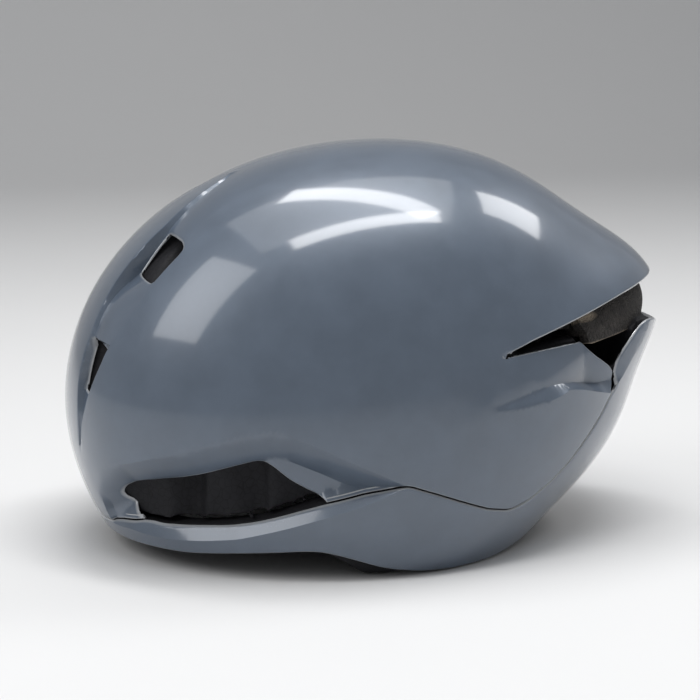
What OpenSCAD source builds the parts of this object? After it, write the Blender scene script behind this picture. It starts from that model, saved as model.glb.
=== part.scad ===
// Aero road bike helmet: two moulded outer shells over a foam liner, with fit pads,
// a dial fit system, webbing straps and a side-release buckle.
// X runs from the nose (-X) to the tail (+X), Y to the sides, Z up from the resting plane.

/* [Shell] */
// Overall length from nose to tail
shell_l = 280; // [270:1:290]
// Half of the overall width
shell_half_w = 102; // [98:1:106]
// Overall height above the resting plane
shell_h = 181; // [175:1:187]
// Thickness of the outer shells
shell_t = 1.8; // [1.4:0.1:2.4]
// Width of the gap between the upper and lower shell
panel_gap = 0.6; // [0.4:0.1:1]
// Depth of the grooves beside the raised centre strip
groove_d = 6; // [4:0.5:8]
// Depth of the trough around the brow vents
trough_d = 9; // [6:0.5:11]
// Depth of the side scoops under the rear slot
scoop_d = 9; // [5:0.5:10]
// Depth of the bevel along the rear rim
rim_bevel_d = 4; // [2:0.5:5]
// How far the tail core lies inside the shell surface
core_inset = 15; // [12:0.5:17]

/* [Liner] */
// Gap between the shells and the foam
bond_gap = 0.3; // [0.2:0.05:0.5]
// Gap between the tail core and the foam above it
block_gap = 0.3; // [0.2:0.1:0.6]
// Foam at the forehead
front_t = 34; // [30:1:38]
// Foam over the crown
top_t = 36; // [32:1:40]
// Foam at the widest place
side_t = 21; // [18:1:24]
// Foam behind the head
rear_t = 36; // [32:1:40]
// Depth of the air channels in the liner
channel_d = 8; // [5:0.5:10]
// Width of the air channels in the liner
channel_w = 12; // [9:0.5:14]
// Thickness of foam left behind the brow vents
vent_floor = 5; // [3:0.5:8]

/* [Pads] */
// Length of the brow pad round the forehead
brow_pad_l = 140; // [120:2:150]
// Width of the middle crown pad
crown_pad_w = 22; // [18:1:26]
// Distance of the crown side pads from the middle
top_pad_y = 38; // [36:1:41]
// Width of the crown side pads
top_pad_w = 19; // [15:1:20]
// Length of the side pads
side_pad_l = 80; // [70:1:86]
// Height of the side pads
side_pad_h = 22; // [18:1:26]
// Height of the middle of the side pads above the resting plane
side_pad_z = 63; // [59:1:69]
// Thickness of the fit pads
pad_t = 6; // [4:0.5:8]
// Gap between a pad and what it lies on
pad_gap = 0.6; // [0.55:0.05:0.9]

/* [Fit system] */
// Height of the temple pivots above the resting plane
pivot_z = 29; // [26:1:32]
// Place of the temple pivots along the length
pivot_x = -16; // [-24:1:-8]
// Gap between the bands and the foam
band_gap = 1.5; // [1:0.1:3]
// Diameter of the temple pins
pin_d = 6; // [5:0.5:7]
// Radial clearance of the bands on the pins
pin_play = 0.08; // [0.05:0.01:0.1]
// Diameter of the heads on the temple pins
pin_head_d = 10; // [9:0.5:13]
// Thickness of the bands
band_t = 1.6; // [1.2:0.1:2]
// Height of the bands
band_w = 13; // [11:0.5:16]
// Height of the dial axis above the resting plane
dial_z = 19; // [18:0.5:22]
// Place of the housing's rear face along the length
housing_x = 82; // [78:0.5:84]
// Width of the dial housing
housing_w = 56; // [50:1:62]
// Height of the dial housing
housing_h = 26; // [24:0.5:30]
// Depth of the dial housing
housing_t = 8; // [7:0.5:10]
// Diameter of the dial
dial_d = 26; // [22:0.5:30]
// Thickness of the dial
dial_t = 7; // [6:0.5:9]
// Number of grip ribs on the dial
dial_ribs = 18; // [12:1:24]
// Diameter of the dial's shaft
shaft_d = 4; // [3:0.5:5]
// Radial clearance of the dial's shaft
shaft_play = 0.06; // [0.03:0.01:0.1]
// Number of teeth on the pinion
gear_teeth = 9; // [8:1:11]
// Gear module, the pitch diameter for each tooth
gear_module = 1; // [0.8:0.1:1.2]
// Free play between rack and pinion teeth
gear_play = 0.25; // [0.15:0.05:0.35]
// Thickness of the racks
rack_t = 2; // [1.6:0.1:2.6]
// How far each rack can be drawn in
rack_travel = 8; // [6:0.5:9]
// Clearance of the racks in their channel
rack_play = 0.3; // [0.2:0.05:0.4]

/* [Straps] */
// Width of the webbing
strap_w = 14; // [12:1:16]
// Thickness of the webbing
strap_t = 1.2; // [0.8:0.1:1.6]
// Place of the front strap anchors along the length
front_anchor_x = -36; // [-42:1:-30]
// Place of the rear strap anchors along the length
rear_anchor_x = 38; // [34:1:42]
// Height of the strap anchors above the rim
anchor_rise = 13; // [11:1:16]
// Diameter of the strap anchors
anchor_d = 14; // [12:1:16]
// Thickness of the strap anchors
anchor_t = 3; // [2:0.5:4]
// How far the strap anchors stand out of the foam
anchor_proud = 1.2; // [0.8:0.1:1.6]
// Place of the buckle and the strap dividers along the length
divider_x = 10; // [4:1:16]
// Distance of the strap dividers from the side of the head space
divider_inset = 31; // [28:1:33]
// Size of the strap dividers
divider_s = 20; // [18:1:22]
// Thickness of the strap dividers
divider_t = 3; // [2:0.5:4]
// Gap between a strap and what it lies on
strap_gap = 0.3; // [0.2:0.05:0.5]

/* [Buckle] */
// Length of the buckle socket
socket_l = 27; // [25:1:30]
// Width of the buckle
buckle_w = 24; // [22:1:26]
// Thickness of the buckle
buckle_t = 8; // [7:0.5:9]
// Diameter of the bars the chin straps run round
bar_d = 3; // [2:0.25:4]
// How far the plug can be drawn out
plug_travel = 18; // [16:1:20]
// Height of the buckle above the resting plane
foot_z = 1; // [0.5:0.5:3]
// Thickness of the buckle's prongs
prong_t = 2.6; // [2.2:0.1:3]
// Clearance inside the buckle
buckle_play = 0.35; // [0.2:0.05:0.5]

/* [Hidden] */
$fn = 48;

// Stretch of the side view against the drawn outline, which is 280 long and 181 high and
// rests at a height of 5
drawn_foot = 5;
kx = shell_l / 280;
kz = shell_h / 181;
ky = shell_half_w / 102;
centre = [-1, 65];
LEFT = -1;
RIGHT = 1;

// Radius of the side outline about its centre every 30 degrees, from the tail over the crown
// to the nose and back below
outline_r = [131, 132, 127, 118, 122, 135, 142, 130, 126, 108, 96, 95];
tail_angle = 21;
tail_reach = 18;
tail_spread_above = 15;
tail_spread_below = 11;
nose_power = 2.2;
crown_power = 2.3;
tail_power = 1.9;

// The head space, drawn the same way about its own centre
head_r = [107, 106, 101, 98, 100, 105, 106, 112, 125, 128, 86, 90];
head_centre = [-1, place_z(52)];
head_rise = 98;
head_power = 2.3;
head_half_w = shell_half_w - side_t;
head_l = shell_l - front_t - rear_t;
head_front = -shell_l / 2 + front_t;
head_kx = head_l / 210;
head_kz = (shell_h - top_t - head_centre[1]) / head_rise;
head_x = head_front + head_l / 2;

// Where the front vents' cutters start, and where they end in the shells and in the foam
vent_start = -shell_l / 2 - 10;
shell_reach = shell_l / 2 - 50;
foam_reach = head_x - 24 - vent_start;

divider_y = head_half_w - divider_inset;

// Side-view lines, as [x, z] on the drawn outline
rim_line = [
    [-150, 13], [-97, 13.5], [-76, 16], [-52, 18], [-44, 18], [-36, 16], [-27, 13], [-16, 9],
    [0, 6], [14, 5], [38, 5], [52, 6.5], [66, 10], [80, 18], [92, 26], [160, 30]
];
// The foam's own rim, which carries the helmet when it is put down
foam_rim_line = [
    [-150, 14], [-97, 14.5], [-76, 17], [-52, 18.5], [-42, 16.5], [-33, 11], [-24, 5],
    [38, 5], [52, 7], [66, 11], [80, 19], [92, 27], [160, 31]
];
seam_front = [[-150, 22], [-121, 22], [-113, 26], [-105, 26], [-84, 29], [-65, 33], [-53, 37], [-43, 41]];
seam_rear = [
    [-31, 43], [-18, 46], [-8, 47], [6, 42], [21, 36], [31, 32], [43, 29], [54, 32],
    [64, 38], [74, 47], [84, 58], [93, 69], [96, 76], [94, 88]
];
slot_lip = [[85, 95], [79, 100], [75, 104], [53, 101], [35, 99]];
slot_top = [[43, 104], [54, 106], [64, 109], [76, 112], [94, 117], [108, 120], [118, 121], [160, 122]];
rear_rim = [[160, 101], [141, 101], [128, 104], [115, 107], [105, 101]];
core_foot = [[84, 97], [112, 108], [160, 108]];

// Trough and scoop limits for the height at each x
trough_top = [[-127, 48], [-112, 56], [-97, 61], [-87, 65], [-73, 68], [-66, 70], [-59, 68], [-41, 61], [-20, 53], [-8, 47]];
trough_foot = [[-127, 18], [-103, 20], [-88, 22], [-73, 25], [-57, 29], [-45, 33], [-26, 40], [-8, 47]];
scoop_tip = [33, 98];
scoop_foot = [[28, 76], [47, 77], [58, 78], [63, 79], [68, 82], [81, 79], [95, 75]];
scoop_ledge = [[28, 79], [42, 81], [55, 85], [60, 85], [68, 83.5], [81, 80.5], [95, 76.5]];
scoop_bend = 76;
scoop_end = 97;
slot_z = 108;
// Bevelled band along the rear rim: its crease and its edge
band_crease = [[95, 73], [97, 75], [102, 79], [108, 85], [112, 92], [115, 99], [118, 103], [122, 108]];
band_edge = [[93, 88], [99, 95], [105, 101], [111, 105], [122, 109]];

// Half width of the raised centre strip, outer edge and depth of its grooves, by angle
strip_edge = [[119, -1], [120, 0], [124, 9], [129, 16], [132, 18], [147, 20], [155, 21], [165, 23], [205, 25]];
groove_edge = [[90, 53], [104, 49], [125, 46], [150, 46], [160, 44], [166, 41], [172, 37], [178, 31], [184, 28], [205, 27]];
groove_grow = [[90, 0], [112, 0.2], [125, 0.5], [138, 1], [178, 1], [190, 0.6], [205, 0.2]];

// Front vents in the view from the front, as [distance from the middle, z]
upper_vent = [[27, 148], [44, 144], [46, 130], [38, 130]];
upper_vent_r = 2.5;
lower_vent_head = [[27, 102], [37, 96], [27, 84], [34, 84]];
lower_vent_foot = [[27, 84], [34, 84], [26.5, 62], [27, 61]];
lower_vent_r = 1.5;
// Brow vent in the side view
brow_vent = [
    [[-117, 41], [-112, 44], [-90, 51], [-90, 30], [-106, 28], [-114, 31]],
    [[-90, 51], [-72, 57], [-66, 56], [-66, 34.5], [-90, 30]],
    [[-66, 56], [-45, 43], [-60, 36], [-66, 34.5]]
];
brow_vent_r = 1.5;

// Grid of the faceted surfaces: angles round the side view, shares of the radius at the
// sides, then distances from the middle on the front and top
angles = concat(
    [0, 5, 10, 14, 18, 21, 24, 28, 33, 40, 48, 58, 68, 78, 88, 98, 108, 116], [for (a = [123:7:172]) a],
    [for (a = [178:6:240]) a], [247, 257, 270, 285, 300, 315, 328, 340, 350]
);
side_shares = [0.13, 0.25, 0.36, 0.46, 0.55, 0.63, 0.7, 0.77, 0.83, 0.88];
function front_rows(angle) =
    let (edge = max(6, lookup(angle, strip_edge)))
    [46, 37, 30, edge + 1, edge, edge / 2, 0];
head_steps = 48;
head_shares = [0.22, 0.42, 0.58, 0.7];
head_rows = [57, 47, 36, 24, 12, 0];

// Distances of the air channels from the middle
channel_y = [29, 64];

// Space for the fit system
pinion_pitch_r = gear_module * gear_teeth / 2;
pinion_t = 3;
channel_h = 2 * (pinion_pitch_r + rack_t + gear_module + rack_play);
channel_t = pinion_t + 2 * rack_play;
cover_t = 2;
press_play = 0.02;
rack_l = housing_w / 2 + 8;

function place_z(z) = (z - drawn_foot) * kz;
function sx(p) = [p[0] * kx, place_z(p[1])];
function smooth(u) = u * u * (3 - 2 * u);
function ramp(v, lo, hi) = min(1, max(0, (v - lo) / (hi - lo)));

// Closed cubic spline through twelve control values, for an angle in degrees
function spline(values, angle) =
    let (n = len(values), s = (((angle % 360) + 360) % 360) / 360 * n, i = floor(s), f = s - i)
    ((1 - f) ^ 3 * values[(i + n - 1) % n] + (3 * f ^ 3 - 6 * f ^ 2 + 4) * values[i % n]
    + (-3 * f ^ 3 + 3 * f ^ 2 + 3 * f + 1) * values[(i + 1) % n] + f ^ 3 * values[(i + 2) % n]) / 6;

function turn(angle) = ((angle + 540) % 360) - 180;
function outline(angle) =
    let (away = turn(angle - tail_angle))
    spline(outline_r, angle) + tail_reach * exp(-(away / (away > 0 ? tail_spread_above : tail_spread_below)) ^ 2);
function power(angle) =
    crown_power + ((cos(angle) > 0 ? tail_power : nose_power) - crown_power) * cos(angle) ^ 2;

// Groove beside the centre strip, as a depth in millimetres
function groove(angle, y) =
    angle < 90 || angle > 205 ? 0
    : let (edge = lookup(angle, strip_edge), limit = lookup(angle, groove_edge))
      groove_d * lookup(angle, groove_grow) * ramp(y, edge, edge + 1) * (1 - ramp(y, edge + 1, limit));

// Trough around the brow vent
function trough(x, z) =
    x > -8 || x < -127 || z < 15 || z > 72 ? 0
    : max(0, min(trough_d, 0.95 * (lookup(x, trough_top) - z), 1.1 * (z - lookup(x, trough_foot)))) * ramp(x, -127, -122);

// Scoop below the rear slot: two flats that meet in a crest, rising from a ledge
function scoop(x, z) =
    x < 28 || x > scoop_end || z > slot_z ? 0
    : let (
        along = min(x, scoop_bend) - scoop_tip[0] + 0.25 * max(0, x - scoop_bend),
        upper = 0.204 * along + 0.07 * (z - scoop_tip[1]),
        front = 0.148 * along - 0.034 * (z - scoop_tip[1])
      )
      scoop_d / 9 * max(0, upper, front) * ramp(z, lookup(x, scoop_foot), lookup(x, scoop_ledge));

// Bevel of the rear rim, below the slot
function rim_bevel(x, z) =
    x < 95 || z > slot_z ? 0 : rim_bevel_d * ramp(z, lookup(x, band_crease), lookup(x, band_edge)) * ramp(x, 95, 99);

function dent(x, z, angle, y) = groove(angle, y) + (y > 30 ? trough(x, z) + max(scoop(x, z), rim_bevel(x, z)) : rim_bevel(x, z));

// A point of the shell surface moved inwards, from the angle, the share of the radius and
// the side
function skin_point(angle, share, side, inset) =
    let (
        n = power(angle),
        r = outline(angle),
        x = centre[0] + share * r * cos(angle),
        z = centre[1] + share * r * sin(angle),
        y = shell_half_w * max(0, 1 - share ^ n) ^ (1 / n),
        slope = (outline(angle + 1) - outline(angle - 1)) / (PI / 90),
        gr = share ^ (n - 1) / r,
        gt = -share ^ (n - 1) * slope / (r * r),
        gy = (y / shell_half_w) ^ (n - 1) / shell_half_w,
        g = norm([gr, gt, gy]),
        move = inset + dent(x, z, angle, y / ky),
        nx = (gr * cos(angle) - gt * sin(angle)) / g,
        nz = (gr * sin(angle) + gt * cos(angle)) / g
    )
    [x * kx - move * nx, side * (y - move * gy / g), place_z(z) - move * nz];

function share_at(y, n) = (1 - (y / 102) ^ n) ^ (1 / n);

// Shares of the radius for one angle, from the left side pole over the middle to the right
function shares(angle) = concat(side_shares, [for (y = front_rows(angle)) share_at(y, power(angle))]);

function skin_row(angle, inset) =
    let (s = shares(angle), n = len(s))
    concat(
        [for (i = [0:n - 1]) skin_point(angle, s[i], LEFT, inset)],
        [for (i = [n - 2:-1:0]) skin_point(angle, s[i], RIGHT, inset)]
    );

// The head space grown outwards
function head_point(angle, share, side, grow) =
    let (r = spline(head_r, angle), y = (head_half_w + grow) * max(0, 1 - share ^ head_power) ^ (1 / head_power))
    [
        head_x + share * (r * head_kx + grow) * cos(angle),
        side * y,
        head_centre[1] + share * (r * head_kz + grow) * sin(angle)
    ];

function head_row(angle, grow) =
    let (
        s = concat(head_shares, [for (y = head_rows) (1 - (y / 81) ^ head_power) ^ (1 / head_power)]),
        n = len(s)
    )
    concat(
        [for (i = [0:n - 1]) head_point(angle, s[i], LEFT, grow)],
        [for (i = [n - 2:-1:0]) head_point(angle, s[i], RIGHT, grow)]
    );

// Half width of the head space at a place in the side view
function head_half(x, z) =
    let (
        dx = (x - head_x) / head_kx,
        dz = (z - head_centre[1]) / head_kz,
        share = min(1, norm([dx, dz]) / spline(head_r, atan2(dz, dx)))
    )
    head_half_w * (1 - share ^ head_power) ^ (1 / head_power);

// A closed surface from rows of points round the Y axis and its two end points
module closed_surface(rows, left_end, right_end) {
    m = len(rows);
    n = len(rows[0]);
    points = concat([for (row = rows) each row], [left_end, right_end]);
    faces = concat(
        [for (i = [0:m - 1], j = [0:n - 2]) let (k = (i + 1) % m) [i * n + j, k * n + j + 1, i * n + j + 1]],
        [for (i = [0:m - 1], j = [0:n - 2]) let (k = (i + 1) % m) [i * n + j, k * n + j, k * n + j + 1]],
        [for (i = [0:m - 1]) let (k = (i + 1) % m) [m * n, k * n, i * n]],
        [for (i = [0:m - 1]) let (k = (i + 1) % m) [m * n + 1, i * n + n - 1, k * n + n - 1]]
    );
    polyhedron(points, faces, convexity = 6);
}

module skin(inset) {
    closed_surface(
        [for (a = angles) skin_row(a, inset)],
        [centre[0] * kx, -shell_half_w + inset, place_z(centre[1])],
        [centre[0] * kx, shell_half_w - inset, place_z(centre[1])]
    );
}

module head_space(grow) {
    closed_surface(
        [for (i = [0:head_steps - 1]) head_row(i * 360 / head_steps, grow)],
        [head_x, -head_half_w - grow, head_centre[1]],
        [head_x, head_half_w + grow, head_centre[1]]
    );
}

// An outline of the side view through the full width
module side_prism(points, shrink) {
    rotate([90, 0, 0])
        linear_extrude(height = 2 * shell_half_w + 20, center = true)
            offset(delta = -shrink)
                polygon([for (p = points) sx(p)]);
}

upper_region = concat(seam_front, seam_rear, slot_lip, slot_top, [[160, 200], [-160, 200], [-160, 22]]);
seam = concat(seam_front, seam_rear);
above_rim = concat(rear_rim, [for (i = [len(seam) - 1:-1:0]) seam[i]]);
lower_region = concat(rim_line, above_rim);
lower_foam_region = concat(foam_rim_line, above_rim);
core_region = concat(slot_lip, slot_top, [core_foot[2], core_foot[1], core_foot[0]]);

// The gap cut along the seam, as a round-nosed cutter driven from point to point
module seam_gap() {
    rotate([90, 0, 0])
        linear_extrude(height = 2 * shell_half_w + 20, center = true)
            for (i = [0:len(seam) - 2])
                hull() {
                    translate(sx(seam[i])) circle(d = panel_gap, $fn = 8);
                    translate(sx(seam[i + 1])) circle(d = panel_gap, $fn = 8);
                }
}

// A cutter with rounded corners through the front, from points in the front view
module front_port(points, r, side, depth) {
    hull()
        for (p = points)
            translate([vent_start, side * p[0] * ky, place_z(p[1])])
                rotate([0, 90, 0])
                    cylinder(r = r, h = depth, $fn = 16);
}

// A cutter with rounded corners through one side, from points in the side view
module side_port(points, r, side, reach) {
    hull()
        for (p = points)
            translate([p[0] * kx, side * reach, place_z(p[1])])
                rotate([side > 0 ? -90 : 90, 0, 0])
                    cylinder(r = r, h = shell_half_w, $fn = 12);
}

module front_vents(depth) {
    for (side = [LEFT, RIGHT]) {
        front_port(upper_vent, upper_vent_r, side, depth);
        front_port(lower_vent_head, lower_vent_r, side, depth);
        front_port(lower_vent_foot, lower_vent_r, side, depth);
    }
}

// The brow vents, down to a distance outside the head space at each part's rear end
module brow_vents(floor_t) {
    for (side = [LEFT, RIGHT], points = brow_vent)
        let (rear = max([for (p = points) p[0]]))
        side_port(points, brow_vent_r, side, head_half(rear * kx, place_z(44)) + floor_t);
}

// The arch at the nape that the dial sits in
module nape_arch() {
    hull()
        for (side = [LEFT, RIGHT], z = [-20, dial_z])
            translate([shell_l / 5, side * (housing_w / 2 + 2), z])
                rotate([0, 90, 0])
                    cylinder(r = 14, h = shell_l / 2, $fn = 32);
}

// The tunnel from the head space out to the notch below the tail core
module exhaust_ports() {
    for (side = [LEFT, RIGHT]) {
        hull() {
            translate([88 * kx, side * 30 * ky, place_z(84)]) rotate([0, 90, 0]) cylinder(d = 20, h = 2, $fn = 24);
            translate([98 * kx, side * 66 * ky, place_z(96)]) rotate([0, 60, side * 35]) cylinder(d = 10, h = 26, $fn = 24);
        }
    }
}

module upper_shell() {
    color("slategray")
        difference() {
            intersection() {
                difference() {
                    skin(0);
                    skin(shell_t);
                }
                side_prism(upper_region, 0);
            }
            seam_gap();
            front_vents(shell_reach);
            brow_vents(-side_t);
        }
}

module lower_shell() {
    color("slategray")
        difference() {
            intersection() {
                difference() {
                    skin(0);
                    skin(shell_t);
                }
                side_prism(lower_region, 0);
            }
            seam_gap();
            brow_vents(-side_t);
            nape_arch();
        }
}

// Two pairs of air channels along the head, cut into the liner
module air_channels() {
    intersection() {
        head_space(channel_d);
        for (y = channel_y, side = [LEFT, RIGHT])
            translate([-shell_l / 2, side * y * ky - channel_w / 2, 60])
                cube([shell_l, channel_w, shell_h]);
    }
}

module pin_holes() {
    translate([pivot_x, 0, pivot_z])
        rotate([90, 0, 0])
            cylinder(d = pin_d + 0.4, h = 2 * (temple_y() + pin_l + 1), center = true, $fn = 32);
}

module crown_liner() {
    color("dimgray")
        difference() {
            intersection() {
                skin(shell_t + bond_gap);
                side_prism(upper_region, 0);
            }
            head_space(0);
            air_channels();
            front_vents(foam_reach);
            brow_vents(vent_floor);
            exhaust_ports();
        }
}

module lower_liner() {
    color("dimgray")
        difference() {
            intersection() {
                skin(shell_t + bond_gap);
                side_prism(lower_foam_region, 0);
            }
            head_space(0);
            seam_gap();
            brow_vents(vent_floor);
            exhaust_ports();
            nape_arch();
            pin_holes();
            anchor_seats();
        }
}

module tail_core() {
    color("black")
        difference() {
            intersection() {
                skin(core_inset);
                side_prism(core_region, block_gap);
            }
            head_space(0);
            air_channels();
            exhaust_ports();
        }
}

// A cushion on a patch of the head space: crowned on its face, drawn in towards its edges.
// The patch is a grid of points and inward directions.
pad_cols = 14;
pad_rows = 5;
function crown(u, v) = 0.28 + 0.72 * (1 - abs(2 * u - 1) ^ 4) ^ 0.5 * (1 - abs(2 * v - 1) ^ 4) ^ 0.5;

module cushion(base, thick) {
    m = len(base);
    n = len(base[0]);
    back = [for (i = [0:m - 1], j = [0:n - 1]) base[i][j][0] + pad_gap * base[i][j][1]];
    face = [
        for (i = [0:m - 1], j = [0:n - 1])
            base[i][j][0] + (pad_gap + thick * crown(i / (m - 1), j / (n - 1))) * base[i][j][1]
    ];
    k = m * n;
    faces = concat(
        [for (i = [0:m - 2], j = [0:n - 2]) [i * n + j, i * n + j + 1, (i + 1) * n + j + 1]],
        [for (i = [0:m - 2], j = [0:n - 2]) [i * n + j, (i + 1) * n + j + 1, (i + 1) * n + j]],
        [for (i = [0:m - 2], j = [0:n - 2]) [k + i * n + j, k + (i + 1) * n + j + 1, k + i * n + j + 1]],
        [for (i = [0:m - 2], j = [0:n - 2]) [k + i * n + j, k + (i + 1) * n + j, k + (i + 1) * n + j + 1]],
        [for (i = [0:m - 2]) each [[i * n, (i + 1) * n, k + (i + 1) * n], [i * n, k + (i + 1) * n, k + i * n]]],
        [for (i = [0:m - 2]) each [
            [i * n + n - 1, k + i * n + n - 1, k + (i + 1) * n + n - 1],
            [i * n + n - 1, k + (i + 1) * n + n - 1, (i + 1) * n + n - 1]
        ]],
        [for (j = [0:n - 2]) each [[j, k + j, k + j + 1], [j, k + j + 1, j + 1]]],
        [for (j = [0:n - 2]) each [
            [(m - 1) * n + j, (m - 1) * n + j + 1, k + (m - 1) * n + j + 1],
            [(m - 1) * n + j, k + (m - 1) * n + j + 1, k + (m - 1) * n + j]
        ]]
    );
    polyhedron(concat(back, face), faces, convexity = 4);
}

// Inward direction from a point of the head space towards the middle of the head
function inward(p) =
    let (d = [head_x - p[0], -p[1] * 1.6, head_centre[1] - p[2]])
    d / norm(d);
function seat(p) = [p, inward(p)];

// A patch along the front or top, between two angles and two distances from the middle
function over_patch(a0, a1, y0, y1, cols, rows) = [
    for (i = [0:cols])
        [
            for (j = [0:rows])
                let (
                    angle = a0 + (a1 - a0) * i / cols,
                    y = (y0 + (y1 - y0) * j / rows) * ky,
                    share = (1 - (abs(y) / head_half_w) ^ head_power) ^ (1 / head_power)
                )
                seat(head_point(angle, share, y < 0 ? LEFT : RIGHT, 0))
        ]
];

// A patch on one side, between two places along the length and two heights
function side_patch(x0, x1, z0, z1, side, cols, rows) = [
    for (i = [0:cols])
        [
            for (j = [0:rows])
                let (
                    x = x0 + (x1 - x0) * i / cols,
                    z = z0 + (z1 - z0) * j / rows,
                    y = side * head_half(x, z)
                )
                seat([x, y, z])
        ]
];

module brow_pad() {
    color("#26282b") cushion(over_patch(186, 168, -brow_pad_l / 2, brow_pad_l / 2, pad_rows, pad_cols), pad_t);
}

module crown_pad() {
    color("#26282b") cushion(over_patch(132, 62, -crown_pad_w / 2, crown_pad_w / 2, pad_cols, pad_rows), pad_t);
}

module top_pad(side) {
    y0 = side > 0 ? top_pad_y : -top_pad_y - top_pad_w;
    color("#26282b") cushion(over_patch(138, 58, y0, y0 + top_pad_w, pad_cols, pad_rows), pad_t);
}

module top_pad_left() {
    top_pad(LEFT);
}

module top_pad_right() {
    top_pad(RIGHT);
}

module side_pad(side) {
    x0 = head_x - 2 - side_pad_l / 2;
    z0 = side_pad_z - side_pad_h / 2;
    patch = side_patch(x0, x0 + side_pad_l, z0, z0 + side_pad_h, side, pad_cols, pad_rows);
    color("#26282b")
        if (side < 0)
            cushion(patch, pad_t);
        else
            cushion([for (i = [len(patch) - 1:-1:0]) patch[i]], pad_t);
}

module side_pad_left() {
    side_pad(LEFT);
}

module side_pad_right() {
    side_pad(RIGHT);
}

// The temple pin: a shaft pressed into the liner, with a head that holds the band's eye
pin_l = 15;
function temple_y() = head_half(pivot_x, pivot_z) - band_gap;
module temple_pin(side) {
    color("#1b1c1e")
        translate([pivot_x, side * (temple_y() - band_t - 0.3), pivot_z])
            rotate([side > 0 ? -90 : 90, 0, 0])
                union() {
                    cylinder(d = pin_d, h = band_t + 0.3 + pin_l);
                    translate([0, 0, -1.6]) cylinder(d = pin_head_d, h = 1.6);
                }
}

module temple_pin_left() {
    temple_pin(LEFT);
}

module temple_pin_right() {
    temple_pin(RIGHT);
}

// Path of a band, from the temple pivot round to the end of the nape cradle
band_steps = 7;
function band_path() =
    let (x0 = pivot_x + band_w, x1 = cradle_x(cradle_half_w), y1 = cradle_half_w + cradle_t / 2 + 0.3 + band_t / 2)
    [
        for (i = [0:band_steps])
            let (
                u = i / band_steps,
                x = x0 + (x1 - x0) * (1 - (1 - u) ^ 1.4),
                z = pivot_z + (cradle_z(cradle_half_w) - pivot_z) * smooth(u),
                w = smooth(ramp(x, x0 + 0.4 * (x1 - x0), x1))
            )
            [x, (1 - w) * (head_half(x, z) - band_gap - band_t / 2) + w * y1, z]
    ];

module band_slab(p, q, side) {
    hull()
        for (r = [p, q])
            translate([r[0], side * r[1], r[2]])
                cylinder(d = band_t, h = band_w, center = true, $fn = 8);
}

// The band: an eye round the pin and a thin strap to the cradle, made of short lengths
module band(side) {
    path = band_path();
    color("#1d1f22")
        difference() {
            union() {
                for (i = [0:band_steps - 1])
                    band_slab(path[i], path[i + 1], side);
                hull() {
                    translate([pivot_x, side * (temple_y() - band_t / 2), pivot_z])
                        rotate([90, 0, 0])
                            cylinder(d = band_w, h = band_t, center = true, $fn = 24);
                    translate([path[0][0], side * path[0][1], path[0][2]])
                        cylinder(d = band_t, h = band_w, center = true, $fn = 8);
                }
            }
            translate([pivot_x, side * temple_y(), pivot_z])
                rotate([90, 0, 0])
                    cylinder(d = pin_d + 2 * pin_play, h = 4 * band_t, center = true, $fn = 48);
        }
}

module band_left() {
    band(LEFT);
}

module band_right() {
    band(RIGHT);
}

// Housing and cover, a shallow box with the channel for both racks
module rounded_plate(w, h, t, r) {
    rotate([90, 0, 90])
        linear_extrude(height = t)
            union() {
                square([w - 2 * r, h], center = true);
                square([w, h - 2 * r], center = true);
                for (x = [-1, 1], y = [-1, 1])
                    translate([x * (w / 2 - r), y * (h / 2 - r)]) circle(r = r);
            }
}

module dial_housing() {
    color("#1d1f22")
        difference() {
            translate([housing_x - housing_t, 0, dial_z]) rounded_plate(housing_w, housing_h, housing_t - cover_t, 6);
            translate([housing_x - cover_t - channel_t, -housing_w / 2 - 1, dial_z - channel_h / 2])
                cube([channel_t + 1, housing_w + 2, channel_h]);
            translate([housing_x - housing_t - 1, 0, dial_z])
                rotate([0, 90, 0]) cylinder(d = shaft_d + 2 * shaft_play, h = housing_t + 2);
        }
}

module housing_cover() {
    color("#232629")
        difference() {
            translate([housing_x - cover_t, 0, dial_z]) rounded_plate(housing_w, housing_h, cover_t, 6);
            translate([housing_x - cover_t - 1, 0, dial_z])
                rotate([0, 90, 0]) cylinder(d = shaft_d + 2 * shaft_play, h = cover_t + 2);
        }
}

// Occipital cradle: two curved wings in front of the housing
cradle_t = 2;
cradle_gap = 0.3;
cradle_half_w = 33;
function cradle_x(y) = housing_x - housing_t - cradle_gap - cradle_t / 2 - y * y / 420;
function cradle_z(y) = dial_z + 2 + y / 8;
module nape_cradle() {
    color("#1d1f22")
        for (s = [LEFT, RIGHT], i = [0:2])
            hull()
                for (y = [i / 3, (i + 1) / 3] * cradle_half_w)
                    translate([cradle_x(y), s * y, cradle_z(y)])
                        cylinder(d = cradle_t, h = 22 - y / 6, center = true, $fn = 12);
}

module nape_pad(side) {
    patch = [
        for (i = [0:10])
            [
                for (j = [0:4])
                    let (
                        y = 5 + (cradle_half_w - 7) * i / 10,
                        z = cradle_z(y) + (j / 4 - 0.5) * 15
                    )
                    [[cradle_x(y) - cradle_t / 2, side * y, z], [-1, 0, 0]]
            ]
    ];
    color("#26282b")
        if (side < 0)
            cushion([for (i = [len(patch) - 1:-1:0]) patch[i]], pad_t * 0.7);
        else
            cushion(patch, pad_t * 0.7);
}

module nape_pad_left() {
    nape_pad(LEFT);
}

module nape_pad_right() {
    nape_pad(RIGHT);
}

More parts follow.
